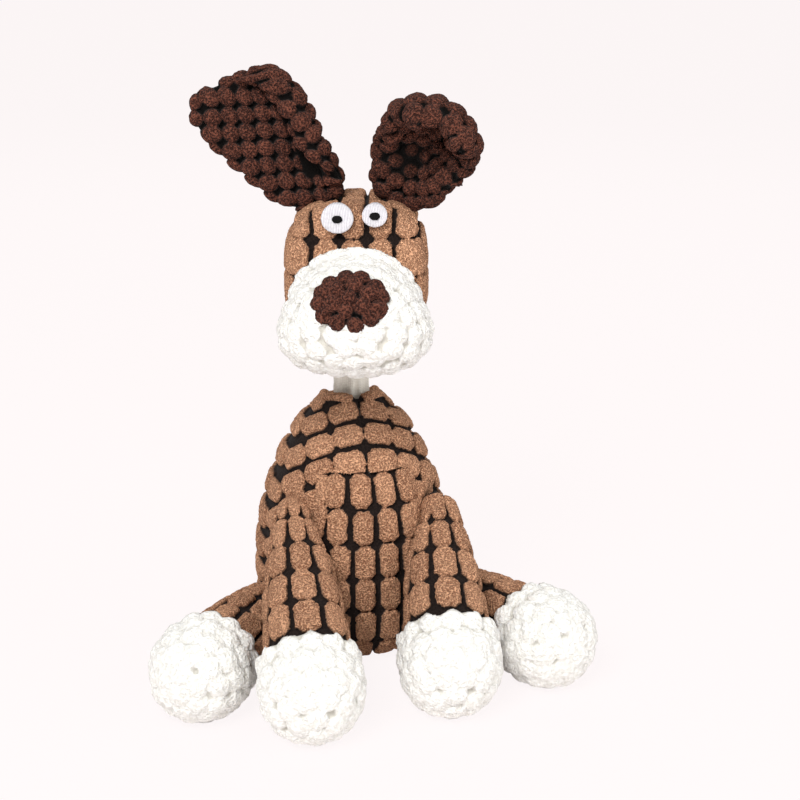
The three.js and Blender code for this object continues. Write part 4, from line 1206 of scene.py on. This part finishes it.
@dataclass
class Head(Part):
    """The head: a brown cover of upright blocks, a white muzzle, the nose and the eyes."""

    rise: float = 0.191
    turn: float = math.radians(-14)
    forward: float = 0.0135
    aside: float = 0.0033
    half_width: float = 0.0335
    half_height: float = 0.037
    half_depth: float = 0.0285
    muzzle_drop: float = 0.013
    muzzle_forward: float = 0.033
    muzzle_reach: float = 0.034
    block_length: float = 0.0168
    block_width: float = 0.0121
    front_shift: float = -0.001  # of the columns of blocks in front and behind
    side_shift: float = -0.0025  # of those on the sides
    eye_row: float = 0.0285  # the upper row of blocks above the head's middle
    eye_lift: float = 0.002
    eye_flattening: float = 0.1  # how much lower than wide an eye is, as a share
    stitch: float = 0.0007
    knob: float = 0.0086
    nose_knob: float = 0.0066
    nose_half: Pair = (0.0142, 0.0112)
    nose_rise: float = 0.0022
    nose_rings: tuple[tuple[float, int], ...] = ((0.0, 1), (0.5, 6), (0.97, 12))
    cheeks: float = 0.08  # how much wider the muzzle is stuffed below, as a share
    cheek_rise: Pair = (-0.025, 0.005)  # the heights where that is full and where it ends
    cheek_start: Pair = (-0.004, 0.008)  # where it starts and where it is full, from the face
    block_depths: Pair = (0.75, 0.25)  # how far off its place a block holds, in front and beside, as a share
    gap_share: float = 0.44  # half of a block's width, as a share of its pitch
    edge_share: float = 0.2  # how near the head's edge a column may be, as a share of its width
    crown_shift: float = 0.004
    shoulder_drop: float = 0.012
    shoulder_slope: float = 0.3
    muzzle_back: float = 0.012  # the knobs start here behind the muzzle's middle
    tip_inset: float = 0.003
    first_ring: float = 0.001
    ring_step: float = 0.95  # from ring to ring, as a share of a knob
    knob_half: float = 0.64
    tip_half: float = 0.56
    knob_stray: float = 0.12
    tip_stray: float = 0.1
    nose_depth: float = 0.02  # the muzzle's surface further back isn't under the nose
    nose_edge: float = 0.004  # the rounding of the nose's edge
    nose_knob_half: float = 0.6
    nose_stray: float = 0.15
    under_nose: Pair = (0.8, 0.97)  # where the muzzle's pile ends under the nose, as shares of its size
    eye_voxel: float = 0.00045
    stitch_depth: float = 0.00012
    eye_fluff: float = 0.0002
    eye_forward: float = 0.0012
    head_fill: float = 0.8
    muzzle_fill: float = 0.9
    nose_fill: float = 0.5

    def build(self, dresser: Dresser) -> None:
        """Makes the covers, the nose and the eyes."""
        spin = np.array(Matrix.Rotation(self.turn, 3, "Z"))
        self.middle = spin @ np.array((self.aside, -self.forward, self.rise))
        self.ahead = spin @ np.array((0.0, -1.0, 0.0))
        self.left = spin @ np.array((1.0, 0.0, 0.0))
        form = StuffedForm("head", ["head_cover", "muzzle_cover"], ["head_stuffing"], smoothing=1)
        covers = form.build(dresser.nodes)
        cover, muzzle = covers["head_cover"], covers["muzzle_cover"]
        self._fill_cheeks(muzzle)
        blocks = Pads(Skin(cover), 40)
        self._blocks(blocks)
        BLOCK_RELIEF.raise_on(cover, blocks)
        hem(cover)
        dresser.settle(cover, "head_cover", "head", BROWN)
        beside_nose = self._nose(dresser, muzzle)
        knobs = Pads(Skin(muzzle), 41)
        self._muzzle_knobs(knobs)
        MUZZLE_RELIEF.raise_on(muzzle, knobs, share=beside_nose)
        hem(muzzle)
        dresser.settle(muzzle, "muzzle_cover", "head", WHITE)
        self._eyes(dresser)

    def _fill_cheeks(self, muzzle: Thing) -> None:
        """Widens the muzzle's lower half, which is stuffed harder."""
        points = points_of(muzzle)
        offset = points - self.middle
        low = 1 - smooth_step(offset @ UP, *self.cheek_rise)
        front = smooth_step(offset @ self.ahead, *(self.half_depth + at for at in self.cheek_start))
        put_points(muzzle, points + self.left * (self.cheeks * low * front * (offset @ self.left))[:, None])

    def _blocks(self, pads: Pads) -> None:
        """Upright blocks on each side of the head, lying ones on its crown and short ones beside it."""
        far, near = (self.block_length * share for share in self.block_depths)
        half = (self.block_length * BLOCK_SHARE, self.block_width * self.gap_share)
        short = (half[1], half[1])
        faces = (
            (self.ahead, self.left, self.half_depth, self.half_width, self.front_shift, far),
            (self.left, self.ahead, self.half_width, self.half_depth, self.side_shift, near),
        )
        rays = [(ray, *face[1:]) for face in faces for ray in (face[0], -face[0])]
        columns = range(-2, 3)
        for ray, across, reach, room, shift, depth in rays:
            for row in range(5):
                for column in columns:
                    aside = column * self.block_width + shift
                    at_shoulder = row == 0 and depth == near and abs(column) == 2
                    if abs(aside) < room - self.edge_share * self.block_width and not at_shoulder:
                        hub = self.middle + UP * (self.eye_row - row * self.block_length) + across * aside
                        place = pads.skin.outward(hub, ray)
                        place = hub + ray * reach if place is None else place
                        pads.face(place, -UP, across, half, depth)
        for column in columns:
            for row in range(-1, 2):
                aside = self.left * (column * self.block_width + self.front_shift)
                over = self.middle + aside + UP * self.half_height
                place = over + self.ahead * (row * self.block_length - self.crown_shift)
                pads.face(place, self.ahead, self.left, half, near)
        for side in (-1, 1):
            for column in range(-2, 2):
                run = self.ahead * (column * self.block_width + self.side_shift)
                over = self.middle + run + UP * (self.half_height - self.shoulder_drop)
                place = pads.skin.outward(over, unit(self.left * side + UP * self.shoulder_slope))
                if place is not None:
                    pads.add(place, self.ahead, short, 0.0)

    def _muzzle_knobs(self, pads: Pads) -> None:
        """Rings of knobs from the head to the muzzle's tip."""
        hub = self.middle - UP * self.muzzle_drop
        tip = self.muzzle_forward + self.muzzle_reach
        profile = []
        last = tip - self.tip_inset
        for run in np.linspace(self.muzzle_forward - self.muzzle_back, last, 60):
            place = pads.skin.outward(hub + self.ahead * run, UP)
            if place is not None:
                profile.append((run, float((place - hub) @ UP), 0.0))
        profile.append((last, 0.0, 0.0))
        half, tip_half = self.knob * self.knob_half, self.knob * self.tip_half
        rings = even_steps(np.array(profile), self.knob * self.ring_step, self.first_ring)
        for ring, (at, _) in enumerate(rings):
            line = []
            for angle in np.linspace(0, TURN, LINE_SAMPLES):
                ray = UP * math.cos(angle) + self.left * math.sin(angle)
                place = pads.skin.outward(hub + self.ahead * at[0], ray)
                if place is not None:
                    line.append(place)
            if len(line) < 10:
                continue
            girth = length_of(np.array(line))
            pitch = girth / max(1, round(girth / self.knob))
            for place, _ in even_steps(np.array(line), pitch, pitch * 0.5 * (ring % 2)):
                pads.add(place, self.ahead, (half, half), self.knob_stray)
        pads.add(hub + self.ahead * tip, UP, (tip_half, tip_half), self.tip_stray)

    def _nose(self, dresser: Dresser, muzzle: Thing) -> Points:
        """A low cushion of knobs, cut from a copy of the muzzle's smooth surface.

        Args:
            dresser: dresses the piece.
            muzzle: the muzzle, still smooth.

        Returns:
            For each of the muzzle's vertices 0 under the nose and 1 beside it.
        """
        form = joined_copy([muzzle], "nose")
        middle, way, _ = Skin(muzzle).nearest(points_of(dresser.nodes["nose_patch"]).mean(0))
        aside = unit(np.cross(UP, way))
        upright = np.cross(way, aside)
        wide, high = self.nose_half
        offset = points_of(form) - middle
        far = np.hypot(offset @ aside / wide, offset @ upright / high)
        far[offset @ way < -self.nose_depth] = 9.0
        beside = smooth_step(far, *self.under_nose)
        keep_values(form, far=far)
        edit_some(form, "VERT", far >= 1)
        delete_selected()
        inside = np.sqrt(np.clip((1 - kept_values(form, "far")) * high / self.nose_edge, 0, 1))
        offset = points_of(form) - middle
        outward = unit(offset - way * (offset @ way)[:, None])
        ways = unit(normals_of(form) * inside[:, None] + outward * (1 - inside)[:, None])
        put_points(form, points_of(form) + normals_of(form) * (inside * self.nose_rise)[:, None])
        pads = Pads(Skin(form), 42)
        half = self.nose_knob * self.nose_knob_half
        for share, count in self.nose_rings:
            for angle in TURN * (np.arange(count) + 0.3) / count:
                across = aside * (share * wide * math.cos(angle))
                place = middle + across + upright * (share * high * math.sin(angle))
                pads.add(place, UP, (half, half), self.nose_stray)
        DARK_RELIEF.raise_on(form, pads, ways)
        hem(form)
        dresser.settle(form, "nose_patch", "head", DARK)
        return beside

    def _eyes(self, dresser: Dresser) -> None:
        """Two embroidered discs, each with a stitched pupil."""
        parts = (
            ("eye_patch", WHITE_THREAD, 0.0006, self.eye_flattening),
            ("pupil", BLACK_THREAD, 0.0004, 0.0),
        )
        for hand in ("right", "left"):
            for part, finish, puff, flattening in parts:
                name = f"{hand}_{part}"
                disc = remeshed([dresser.nodes[name]], name, self.eye_voxel)
                smooth(disc, 5)
                points = points_of(disc)
                stitch = np.sin((points - self.middle) @ self.left / self.stitch * TURN) * self.stitch_depth
                lift = puff + stitch + self.eye_fluff * grain(points, 0.0011, 4.0)
                front = np.maximum(normals_of(disc) @ self.ahead, 0)
                forward = (lift * front + self.eye_forward)[:, None]
                raised = points + self.ahead * forward + UP * self.eye_lift
                raised[:, 2] -= flattening * (raised[:, 2] - raised[:, 2].mean())
                put_points(disc, raised)
                dresser.settle(disc, name, "head", finish)


class EarShape(Enum):
    """How an ear's flat pattern is shaped."""

    FOLDED = "upright, with its inner edge rolled forward"
    CUPPED = "drawn forward into a bowl"


@dataclass
class Ear(Part):
    """A double layered ear, cut from one flat pattern and shaped."""

    hand: str
    shape: EarShape
    base_width: float
    lean: float
    length: float
    flap: float  # how much wider the pattern is on the side that is rolled or drawn in
    seed: int
    tip_width: float = 0.055
    rounding: float = 0.018
    end_share: float = 0.62
    root_depth: float = 0.0035
    root_tuck: float = 0.3  # how much narrower the pattern gets inside the head
    bend: float = 0.012  # how far up the ear bends from its sewn root
    fold_roll: float = math.radians(180)
    fold_inside: float = 0.013
    fold_arc: float = 0.017
    fold_from: float = -0.01
    fold_to: float = 0.03
    fold_hollow: float = math.radians(22)
    fold_steps: int = 40
    crease: float = 0.004  # how far beside the roll the pile is pressed down and painted dark, as a painted shadow of the roll
    cup_radius: float = 0.021
    cup_centre: float = 0.031
    cup_aside: float = 0.35
    cup_from: float = -1.0
    cup_to: float = -0.15
    cup_nod: float = math.radians(14)
    hollow: Pair = (-0.003, 0.021)  # the deepest place on the bowl's pattern
    layer: float = 0.0025  # from the middle to the backing
    thickness: float = 0.0012  # of the backing
    rim: float = 0.005  # the rounding of the edge
    rim_pile: float = 0.68  # the pile's height at the edge, as a share
    knob: float = 0.0079
    grid_turn: float = math.radians(17)  # from the ear's own upright to that of its rows of knobs
    columns: int = 100
    rows: int = 104
    evening: float = 0.25  # how far the layer's columns draw together at the edges
    stretch: float = 1.2  # how much longer the cloth is outside the roll, in layers
    hollow_press_and_shade: float = 0.6  # how far the pile in the bowl is pressed down, as a share, which also paints the bowl's hollow darker as painted shade
    hollow_reach: Pair = (0.004, 0.017)
    # how far the pile beside the roll is pressed down and painted dark, as a painted shadow of the roll
    crease_press_and_shade: float = 0.8
    crease_edges: Pair = (0.0025, 0.006)  # how softly that starts beside the roll and ends at the rim
    crease_ends: Pair = (0.002, 0.012)  # and how far up the ear it starts
    fold_margin: float = 0.35  # how far past the cloth a knob may sit, as a share of its size
    cup_margin: float = 0.55
    grid_half: Pair = (0.6, 0.53)  # half of a knob, as shares of its pitch
    ring_half: float = 0.59
    count: int = 12  # rings, or rows and columns each way, more than the ear has room for
    fill: float = 0.4

    def build(self, dresser: Dresser) -> None:
        """Makes the ear's two layers."""
        joint = self.hand + "_ear_flop"
        along = dresser.axis(joint)
        back = unit(np.cross(UP, along))
        self.home = np.array((along, back, np.cross(along, back)))
        self.pivot = dresser.pivot(joint)
        up = self.home[2]
        sewn = ("head", self.pivot - up * self.root_depth, self.pivot + up * self.bend)
        for part, way in (("back", -1), ("front", 1)):
            name = f"{self.hand}_ear_{part}"
            piece, flat, ways = self._layer(name, way)
            pads = Pads(None, self.seed)
            if self.shape is EarShape.FOLDED:
                self._grid_knobs(pads)
            else:
                self._ring_knobs(pads)
            # The pressed share also paints shade: the bowl's hollow and the strip beside the roll show the
            # dark knit.
            DARK_RELIEF.raise_on(piece, pads, ways, flat, self._pressed_and_shaded(flat, way))
            modify(piece, "SOLIDIFY", thickness=self.thickness, offset=-1)
            dresser.settle(piece, name, self.hand + "_ear", DARK, sewn)

    def rounding_at(self, length: Points) -> Points:
        """How much of the width is left at lengths up the ear, where its end is rounded."""
        end = np.maximum(0, (length - self.length + self.rounding) / self.rounding)
        return np.sqrt(1 - end**2 * (1 - self.end_share**2))

    def half_width(self, length: Points) -> Points:
        """Half the flat pattern's width at lengths up the ear, without the flap."""
        share = np.maximum(length, 0) / self.length
        width = self.base_width + (self.tip_width - self.base_width) * np.sin(share * math.pi / 2)
        tuck = 1 - self.root_tuck * smooth_step(-np.asarray(length), -self.root_depth, self.root_depth)
        return width / 2 * self.rounding_at(length) * tuck

    def flap_width(self, length: Points) -> Points:
        """The flap's width at lengths up the ear."""
        return self.flap * smooth_step(length, self.fold_from, self.fold_to) * self.rounding_at(length)

    def roll_at(self, length: Points) -> Points:
        """How far the edge is rolled at lengths up the ear."""
        return self.fold_roll * smooth_step(length, self.fold_from, self.fold_to)

    def _folded(self, aside: Points, length: Points) -> Points:
        """The flat pattern's place where the left edge rolls forward."""
        half = self.half_width(length)
        roll = self.roll_at(length)
        hollow = self.fold_hollow * np.maximum(length, 0) / self.length
        first = half - self.fold_inside
        x, y = np.zeros_like(aside), np.zeros_like(aside)
        for i in range(self.fold_steps):
            run = (i + 0.5) / self.fold_steps * aside
            turn = hollow * run / half + roll * smooth_step(run, first, first + self.fold_arc)
            x += np.cos(turn) * aside / self.fold_steps
            y -= np.sin(turn) * aside / self.fold_steps
        return np.stack((x, y, length), -1)

    def _cupped(self, aside: Points, length: Points) -> Points:
        """The flat pattern's place where it is drawn into a bowl, except towards its root."""
        rise = length - self.cup_centre
        spread = np.maximum(np.hypot(aside, rise), TINY)
        drawn = smooth_step((rise + self.cup_aside * aside) / spread, self.cup_from, self.cup_to)
        turn = np.maximum(spread * drawn / self.cup_radius, TINY)
        out = np.sin(turn) / turn
        ahead = -spread * (1 - np.cos(turn)) / turn
        up = self.cup_centre + rise * out
        c, s = math.cos(self.cup_nod), math.sin(self.cup_nod)
        return np.stack((aside * out, ahead * c - up * s, ahead * s + up * c), -1)

    def _middle(self, aside: Points, length: Points) -> Points:
        """Points between the two layers, at places of the flat pattern."""
        place = (self._folded if self.shape is EarShape.FOLDED else self._cupped)(aside, length)
        place[..., 0] += math.tan(self.lean) * place[..., 2]
        return place

    def _ways(self, aside: Points, length: Points) -> tuple[Points, Points, Points]:
        """The pattern's directions across, up and out in front, in the dog's frame."""
        small = 1e-5
        x = self._middle(aside + small, length) - self._middle(aside - small, length)
        z = self._middle(aside, length + small) - self._middle(aside, length - small)
        return unit(x) @ self.home, unit(z) @ self.home, unit(np.cross(x, z)) @ self.home

    def _layer(self, name: str, way: int) -> tuple[Thing, Points, Points]:
        """One layer, a grid that meets the other layer at the rim.

        Args:
            name: the new object's name.
            way: 1 for the front layer, -1 for the back one.

        Returns:
            The layer, smooth and facing outwards, its places on the flat pattern, and its pile's directions.
        """
        bpy.ops.object.select_all(action="DESELECT")
        bpy.ops.mesh.primitive_grid_add(x_subdivisions=self.columns, y_subdivisions=self.rows, size=2)
        piece = bpy.context.view_layer.objects.active
        piece.name = name
        grid = points_of(piece)
        length = -self.root_depth + (self.length + self.root_depth) * (grid[:, 1] + 1) / 2
        half, flap = self.half_width(length), self.flap_width(length)
        across = np.sin(grid[:, 0] * math.pi / 2) * self.evening + grid[:, 0] * (1 - self.evening)
        aside = -half + (2 * half + flap) * (across + 1) / 2
        side = np.clip(np.minimum(aside + half, half + flap - aside) / self.rim, 0, 1)
        above = np.clip((self.length - length) / self.rim, 0, 1)
        inside = np.sqrt(np.minimum(side, above))
        x, z, front = self._ways(aside, length)
        middle = self._middle(aside, length) @ self.home + self.pivot
        put_points(piece, middle + front * (way * self.layer * inside)[:, None])
        if way < 0:
            piece.data.flip_normals()
        out = x * (np.sign(across) * np.sqrt(1 - side))[:, None] + z * np.sqrt(1 - above)[:, None]
        flat = np.stack((self._stretched(aside, length), length, np.zeros_like(aside)), -1)
        ways = unit(out + front * (way * inside)[:, None])
        return piece, flat, ways * (self.rim_pile + (1 - self.rim_pile) * inside)[:, None]

    def _stretched(self, aside: Points, length: Points) -> Points:
        """The way across the pattern, longer where its outside is stretched round the fold."""
        if self.shape is EarShape.CUPPED:
            return aside
        first = self.half_width(length) - self.fold_inside
        turned = self.roll_at(length) * smooth_step(aside, first, first + self.fold_arc)
        return aside + self.layer * self.stretch * turned

    def _pressed_and_shaded(self, flat: Points, way: int) -> Points | float:
        """How much of the front's pile stands: less in the bowl, inside the roll and beside its edge. Less
        pile also shows the dark knit, as painted shade in the bowl's hollow and a painted shadow beside the
        roll.

        Args:
            flat: places on the stretched pattern.
            way: 1 for the front layer, -1 for the back one.

        Returns:
            A share for each place.
        """
        aside, length = flat[:, 0], flat[:, 1]
        if way < 0:
            return 1.0
        if self.shape is EarShape.CUPPED:
            # Painted shade in the bowl's hollow: the pile there is pressed down and shows the dark knit.
            deep = np.hypot(aside - self.hollow[0], length - self.hollow[1])
            return 1 - self.hollow_press_and_shade * (1 - smooth_step(deep, *self.hollow_reach))
        half = self.half_width(length)
        edge = half - self.fold_inside - self.crease
        last = self._stretched(half + self.flap_width(length), length)
        soft, rim = self.crease_edges
        inner = smooth_step(aside, edge, edge + soft) * (1 - smooth_step(aside, last - rim, last))
        top = smooth_step(length, self.length - self.crease_ends[1], self.length)
        ends = smooth_step(length, *self.crease_ends) * (1 - top)
        # Painted shadow beside the roll: the pile there is pressed down and shows the dark knit.
        return 1 - self.crease_press_and_shade * inner * ends

    def _is_inside(self, aside: float, length: float) -> bool:
        """Whether a knob at a place of the stretched pattern reaches its cloth."""
        margin = (self.fold_margin if self.shape is EarShape.FOLDED else self.cup_margin) * self.knob
        half, flap = self.half_width(length), self.flap_width(length)
        last = float(self._stretched(half + flap, length))
        return -half - margin < aside < last + margin and length < self.length + margin

    def _grid_knobs(self, pads: Pads) -> None:
        """Knobs in rows and columns that stand upright, whatever the ear's lean."""
        c, s, slope = math.cos(self.grid_turn), math.sin(self.grid_turn), math.tan(self.lean)
        along = unit(np.array((s - slope * c, c, 0.0)))
        half = (self.knob * self.grid_half[0], self.knob * self.grid_half[1])
        places = range(-self.count, self.count + 1)
        for row in places:
            for column in places:
                across, rise = (column + 0.5) * self.knob, row * self.knob
                length = rise * c - across * s
                aside = across * c + rise * s - slope * length
                if length > -self.root_depth - self.knob and self._is_inside(aside, length):
                    pads.lay(np.array((aside, length, 0.0)), along, half)

    def _ring_knobs(self, pads: Pads) -> None:
        """Knobs in rings round the bowl's bottom, as many as the drawn in cloth has room for."""
        angles = np.linspace(0, TURN, 181)
        half = self.knob * self.ring_half
        for ring in range(self.count):
            spread = max(ring * self.knob, 1e-6)
            run = runs(self._middle(spread * np.sin(angles), self.cup_centre - spread * np.cos(angles)))
            count = max(1, round(run[-1] / self.knob))
            for at in run[-1] * (np.arange(count) + 0.5 * (ring % 2)) / count:
                angle = float(np.interp(at, run, angles))
                narrow = float(np.interp(angle, angles[1:], np.diff(run) / np.diff(angles))) / spread
                out = np.array((math.sin(angle), -math.cos(angle), 0.0))
                place = out * spread + np.array((0.0, self.cup_centre, 0.0))
                if self._is_inside(place[0], place[1]):
                    pads.lay(place, out, (half, half / min(max(narrow, 0.3), 1.0)))


@dataclass
class Neck(Part):
    """A short sleeve of gathered cloth."""

    radius: float = 0.0083
    gathers: int = 9
    depth: float = 0.0006

    def build(self, dresser: Dresser) -> None:
        """Makes the sleeve."""
        sleeve = remeshed([dresser.nodes["neck_sleeve"]], "neck", 0.0007)
        smooth(sleeve, 4)
        points = points_of(sleeve)
        angle = np.arctan2(points[:, 1], points[:, 0])
        drift = grain(points * np.array((1, 1, 0.35)), 0.006, 6.0)
        fold = np.sin(self.gathers * angle + 2.2 * drift) * self.depth + 0.0003 * grain(points, 0.004, 1.0)
        gathered = np.minimum(np.hypot(points[:, 0], points[:, 1]), self.radius)
        put_points(sleeve, unit(points * LEVEL) * (gathered + fold)[:, None] + points * UP)
        dresser.settle(sleeve, "neck_sleeve", "neck", CREAM)


@dataclass
class Wads(Part):
    """The stuffing of every form, as loose wads."""

    names: Sequence[str]
    depth: float = 0.0016
    sink: float = 0.0042
    most: float = 0.006
    voxel: float = 0.003
    collar: float = 0.117  # the torso's wads end below here

    def build(self, dresser: Dresser) -> None:
        """Makes the wads."""
        for name in self.names:
            body = name.split("_stuffing")[0]
            wad = remeshed([dresser.nodes[name]], name, self.voxel)
            smooth(wad, 2)
            points = points_of(wad)
            sink = self.sink + self.depth * (grain(points, 0.011, 2.0) + 0.6 * grain(points, 0.004, 9.0))
            sink = sink * 0.2 if body == "neck" else np.minimum(sink, self.most)
            points -= normals_of(wad) * sink[:, None]
            if body == "torso":
                points[:, 2] = np.minimum(points[:, 2], self.collar + 0.1 * (points[:, 2] - self.collar))
            put_points(wad, points)
            dresser.settle(wad, name, body, FIBRE)


@dataclass
class Squeaker(Part):
    """The moulded bulb. Its folded wall, which closes up when the crown is pressed in, is made as it stands,
    unpressed.
    """

    wall_end: Place = (0.0, 0.0037, 0.057)
    pressed: float = 0.21  # the wall's length when pressed, as a share

    def build(self, dresser: Dresser) -> None:
        """Dresses the frame's solids and makes the folded wall, with bevelled folds, from a copy of its
        solid.
        """
        for name in ("squeaker_base", "squeaker_crown", "squeaker_whistle", "squeaker_reed"):
            dresser.paint(dresser.nodes[name], PLASTIC)
        wall = joined_copy([dresser.nodes["squeaker_bellows"]], "squeaker_bellows_wall")
        modify(wall, "BEVEL", width=0.0005, segments=2, limit_method="ANGLE", angle_limit=math.radians(25))
        dresser.settle(wall, "squeaker_bellows", "torso", PLASTIC)
        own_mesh(wall)


# The picture


@dataclass
class Studio:
    """The camera at the photograph's angle, a pale floor and soft light."""

    eye: Place = (-0.1659, -0.7625, 0.362)
    heading: Pair = (0.242, 0.970)
    pitch: float = math.radians(17)
    lens: float = 75.0
    sensor: float = 36.0
    pale: Colour = (1.0, 0.947, 0.947)
    even: Colour = (1.0, 0.985, 0.97)
    even_strength: float = 0.32
    floor_glow: float = 0.95
    aim: Place = (0.0, 0.0, 0.12)

    def build(self) -> None:
        """Makes the camera, the floor, the lamps and the world."""
        self._camera()
        self._floor()
        self._lamp("key_lamp", (-0.7, -1.1, 1.25), 31.0, 0.8)
        self._lamp("fill_lamp", (1.0, -0.8, 0.8), 9.0, 1.2)
        self._lamp("back_lamp", (0.3, 1.2, 1.1), 6.0, 1.2)
        self._world()
        bpy.context.scene.view_settings.view_transform = "Standard"

    def _place(self, data: bpy.types.ID, place: Place, look: Vector) -> Thing:
        """Hangs a camera or lamp up so that it looks along a direction."""
        made = bpy.data.objects.new(data.name, data)
        bpy.context.scene.collection.objects.link(made)
        made.location = place
        made.rotation_euler = look.to_track_quat("-Z", "Y").to_euler()
        return made

    def _camera(self) -> None:
        """The camera, with no shift and no depth of field."""
        data = bpy.data.cameras.new("camera")
        data.lens = self.lens
        data.sensor_width = self.sensor
        data.clip_start, data.clip_end = 0.01, 100.0
        flat = math.cos(self.pitch)
        look = Vector((self.heading[0] * flat, self.heading[1] * flat, -math.sin(self.pitch)))
        bpy.context.scene.camera = self._place(data, self.eye, look)

    def _floor(self) -> None:
        """A wide pale floor that shows a faint shadow."""
        bpy.ops.object.select_all(action="DESELECT")
        bpy.ops.mesh.primitive_plane_add(size=60, location=(0, 0, 0))
        floor = bpy.context.view_layer.objects.active
        floor.name = "floor"
        paint = Paint("floor")
        paint.set(Base_Color=self.pale, Roughness=1.0, Specular_IOR_Level=0.0)
        kinds = ("Is Camera Ray", "Is Glossy Ray", "Is Transmission Ray")
        straight, mirrored, through = (paint.node("ShaderNodeLightPath", {}, {}, kind) for kind in kinds)
        seen = (straight + mirrored + through).between(0.0, 1.0)
        glow = paint.node("ShaderNodeEmission", {}, {"Color": self.pale, "Strength": 1.0})
        lit = Socket(paint, paint.shader.outputs[0])
        both = paint.node("ShaderNodeMixShader", {}, {0: seen * self.floor_glow, 1: lit, 2: glow})
        paint.join(paint.tree.nodes["Material Output"].inputs["Surface"], both)
        floor.data.materials.append(paint.material)

    def _lamp(self, name: str, place: Place, power: float, size: float) -> None:
        """A square soft lamp that looks at the dog.

        Args:
            name: the lamp's name.
            place: where it hangs.
            power: its power, watts.
            size: its side, metres.
        """
        data = bpy.data.lights.new(name, "AREA")
        data.energy = power
        data.size = size
        self._place(data, place, Vector(self.aim) - Vector(place))

    def _world(self) -> None:
        """Even light from all round, and the floor's own colour behind the dog."""
        world = bpy.data.worlds.new("studio")
        world.use_nodes = True
        bpy.context.scene.world = world
        tree = world.node_tree
        even = tree.nodes["Background"]
        even.inputs["Color"].default_value = (*self.even, 1.0)
        even.inputs["Strength"].default_value = self.even_strength
        behind = tree.nodes.new("ShaderNodeBackground")
        behind.inputs["Color"].default_value = (*self.pale, 1.0)
        rays = tree.nodes.new("ShaderNodeLightPath")
        both = tree.nodes.new("ShaderNodeMixShader")
        tree.links.new(rays.outputs["Is Camera Ray"], both.inputs[0])
        tree.links.new(even.outputs[0], both.inputs[1])
        tree.links.new(behind.outputs[0], both.inputs[2])
        tree.links.new(both.outputs[0], tree.nodes["World Output"].inputs["Surface"])


LEGS = (
    Leg("right_front", "right_front_leg_swing", 0.093, 0.0105, 0.0205, 0.0235, seed=10),
    Leg("left_front", "left_front_leg_swing", 0.086, 0.0105, 0.0205, 0.0235, seed=13),
    Leg("right_hind", "right_hind_leg_splay", 0.072, 0.014, 0.0195, 0.023, seed=16),
    Leg("left_hind", "left_hind_leg_splay", 0.072, 0.014, 0.0195, 0.023, seed=19),
)
EARS = (
    Ear("right", EarShape.FOLDED, 0.029, math.radians(-13), length=0.062, flap=0.003, seed=60),
    Ear("left", EarShape.CUPPED, 0.025, math.radians(3), length=0.071, flap=0.008, seed=63),
)
WADS = Wads(
    (
        "torso_stuffing_front",
        "torso_stuffing_rear",
        "neck_stuffing",
        "head_stuffing",
        *(leg.name + "_leg_stuffing" for leg in LEGS),
    )
)


def main() -> None:
    """Builds the dog round its frame."""
    logging.basicConfig(level=logging.INFO, format="%(name)s: %(message)s")
    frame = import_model()
    Studio().build()
    dresser = Dresser(frame)
    for part in (Torso(), *LEGS, Head(), *EARS, Neck(), WADS, Squeaker()):
        part.build(dresser)
    bpy.ops.object.select_all(action="DESELECT")


if __name__ == "__main__":
    main()
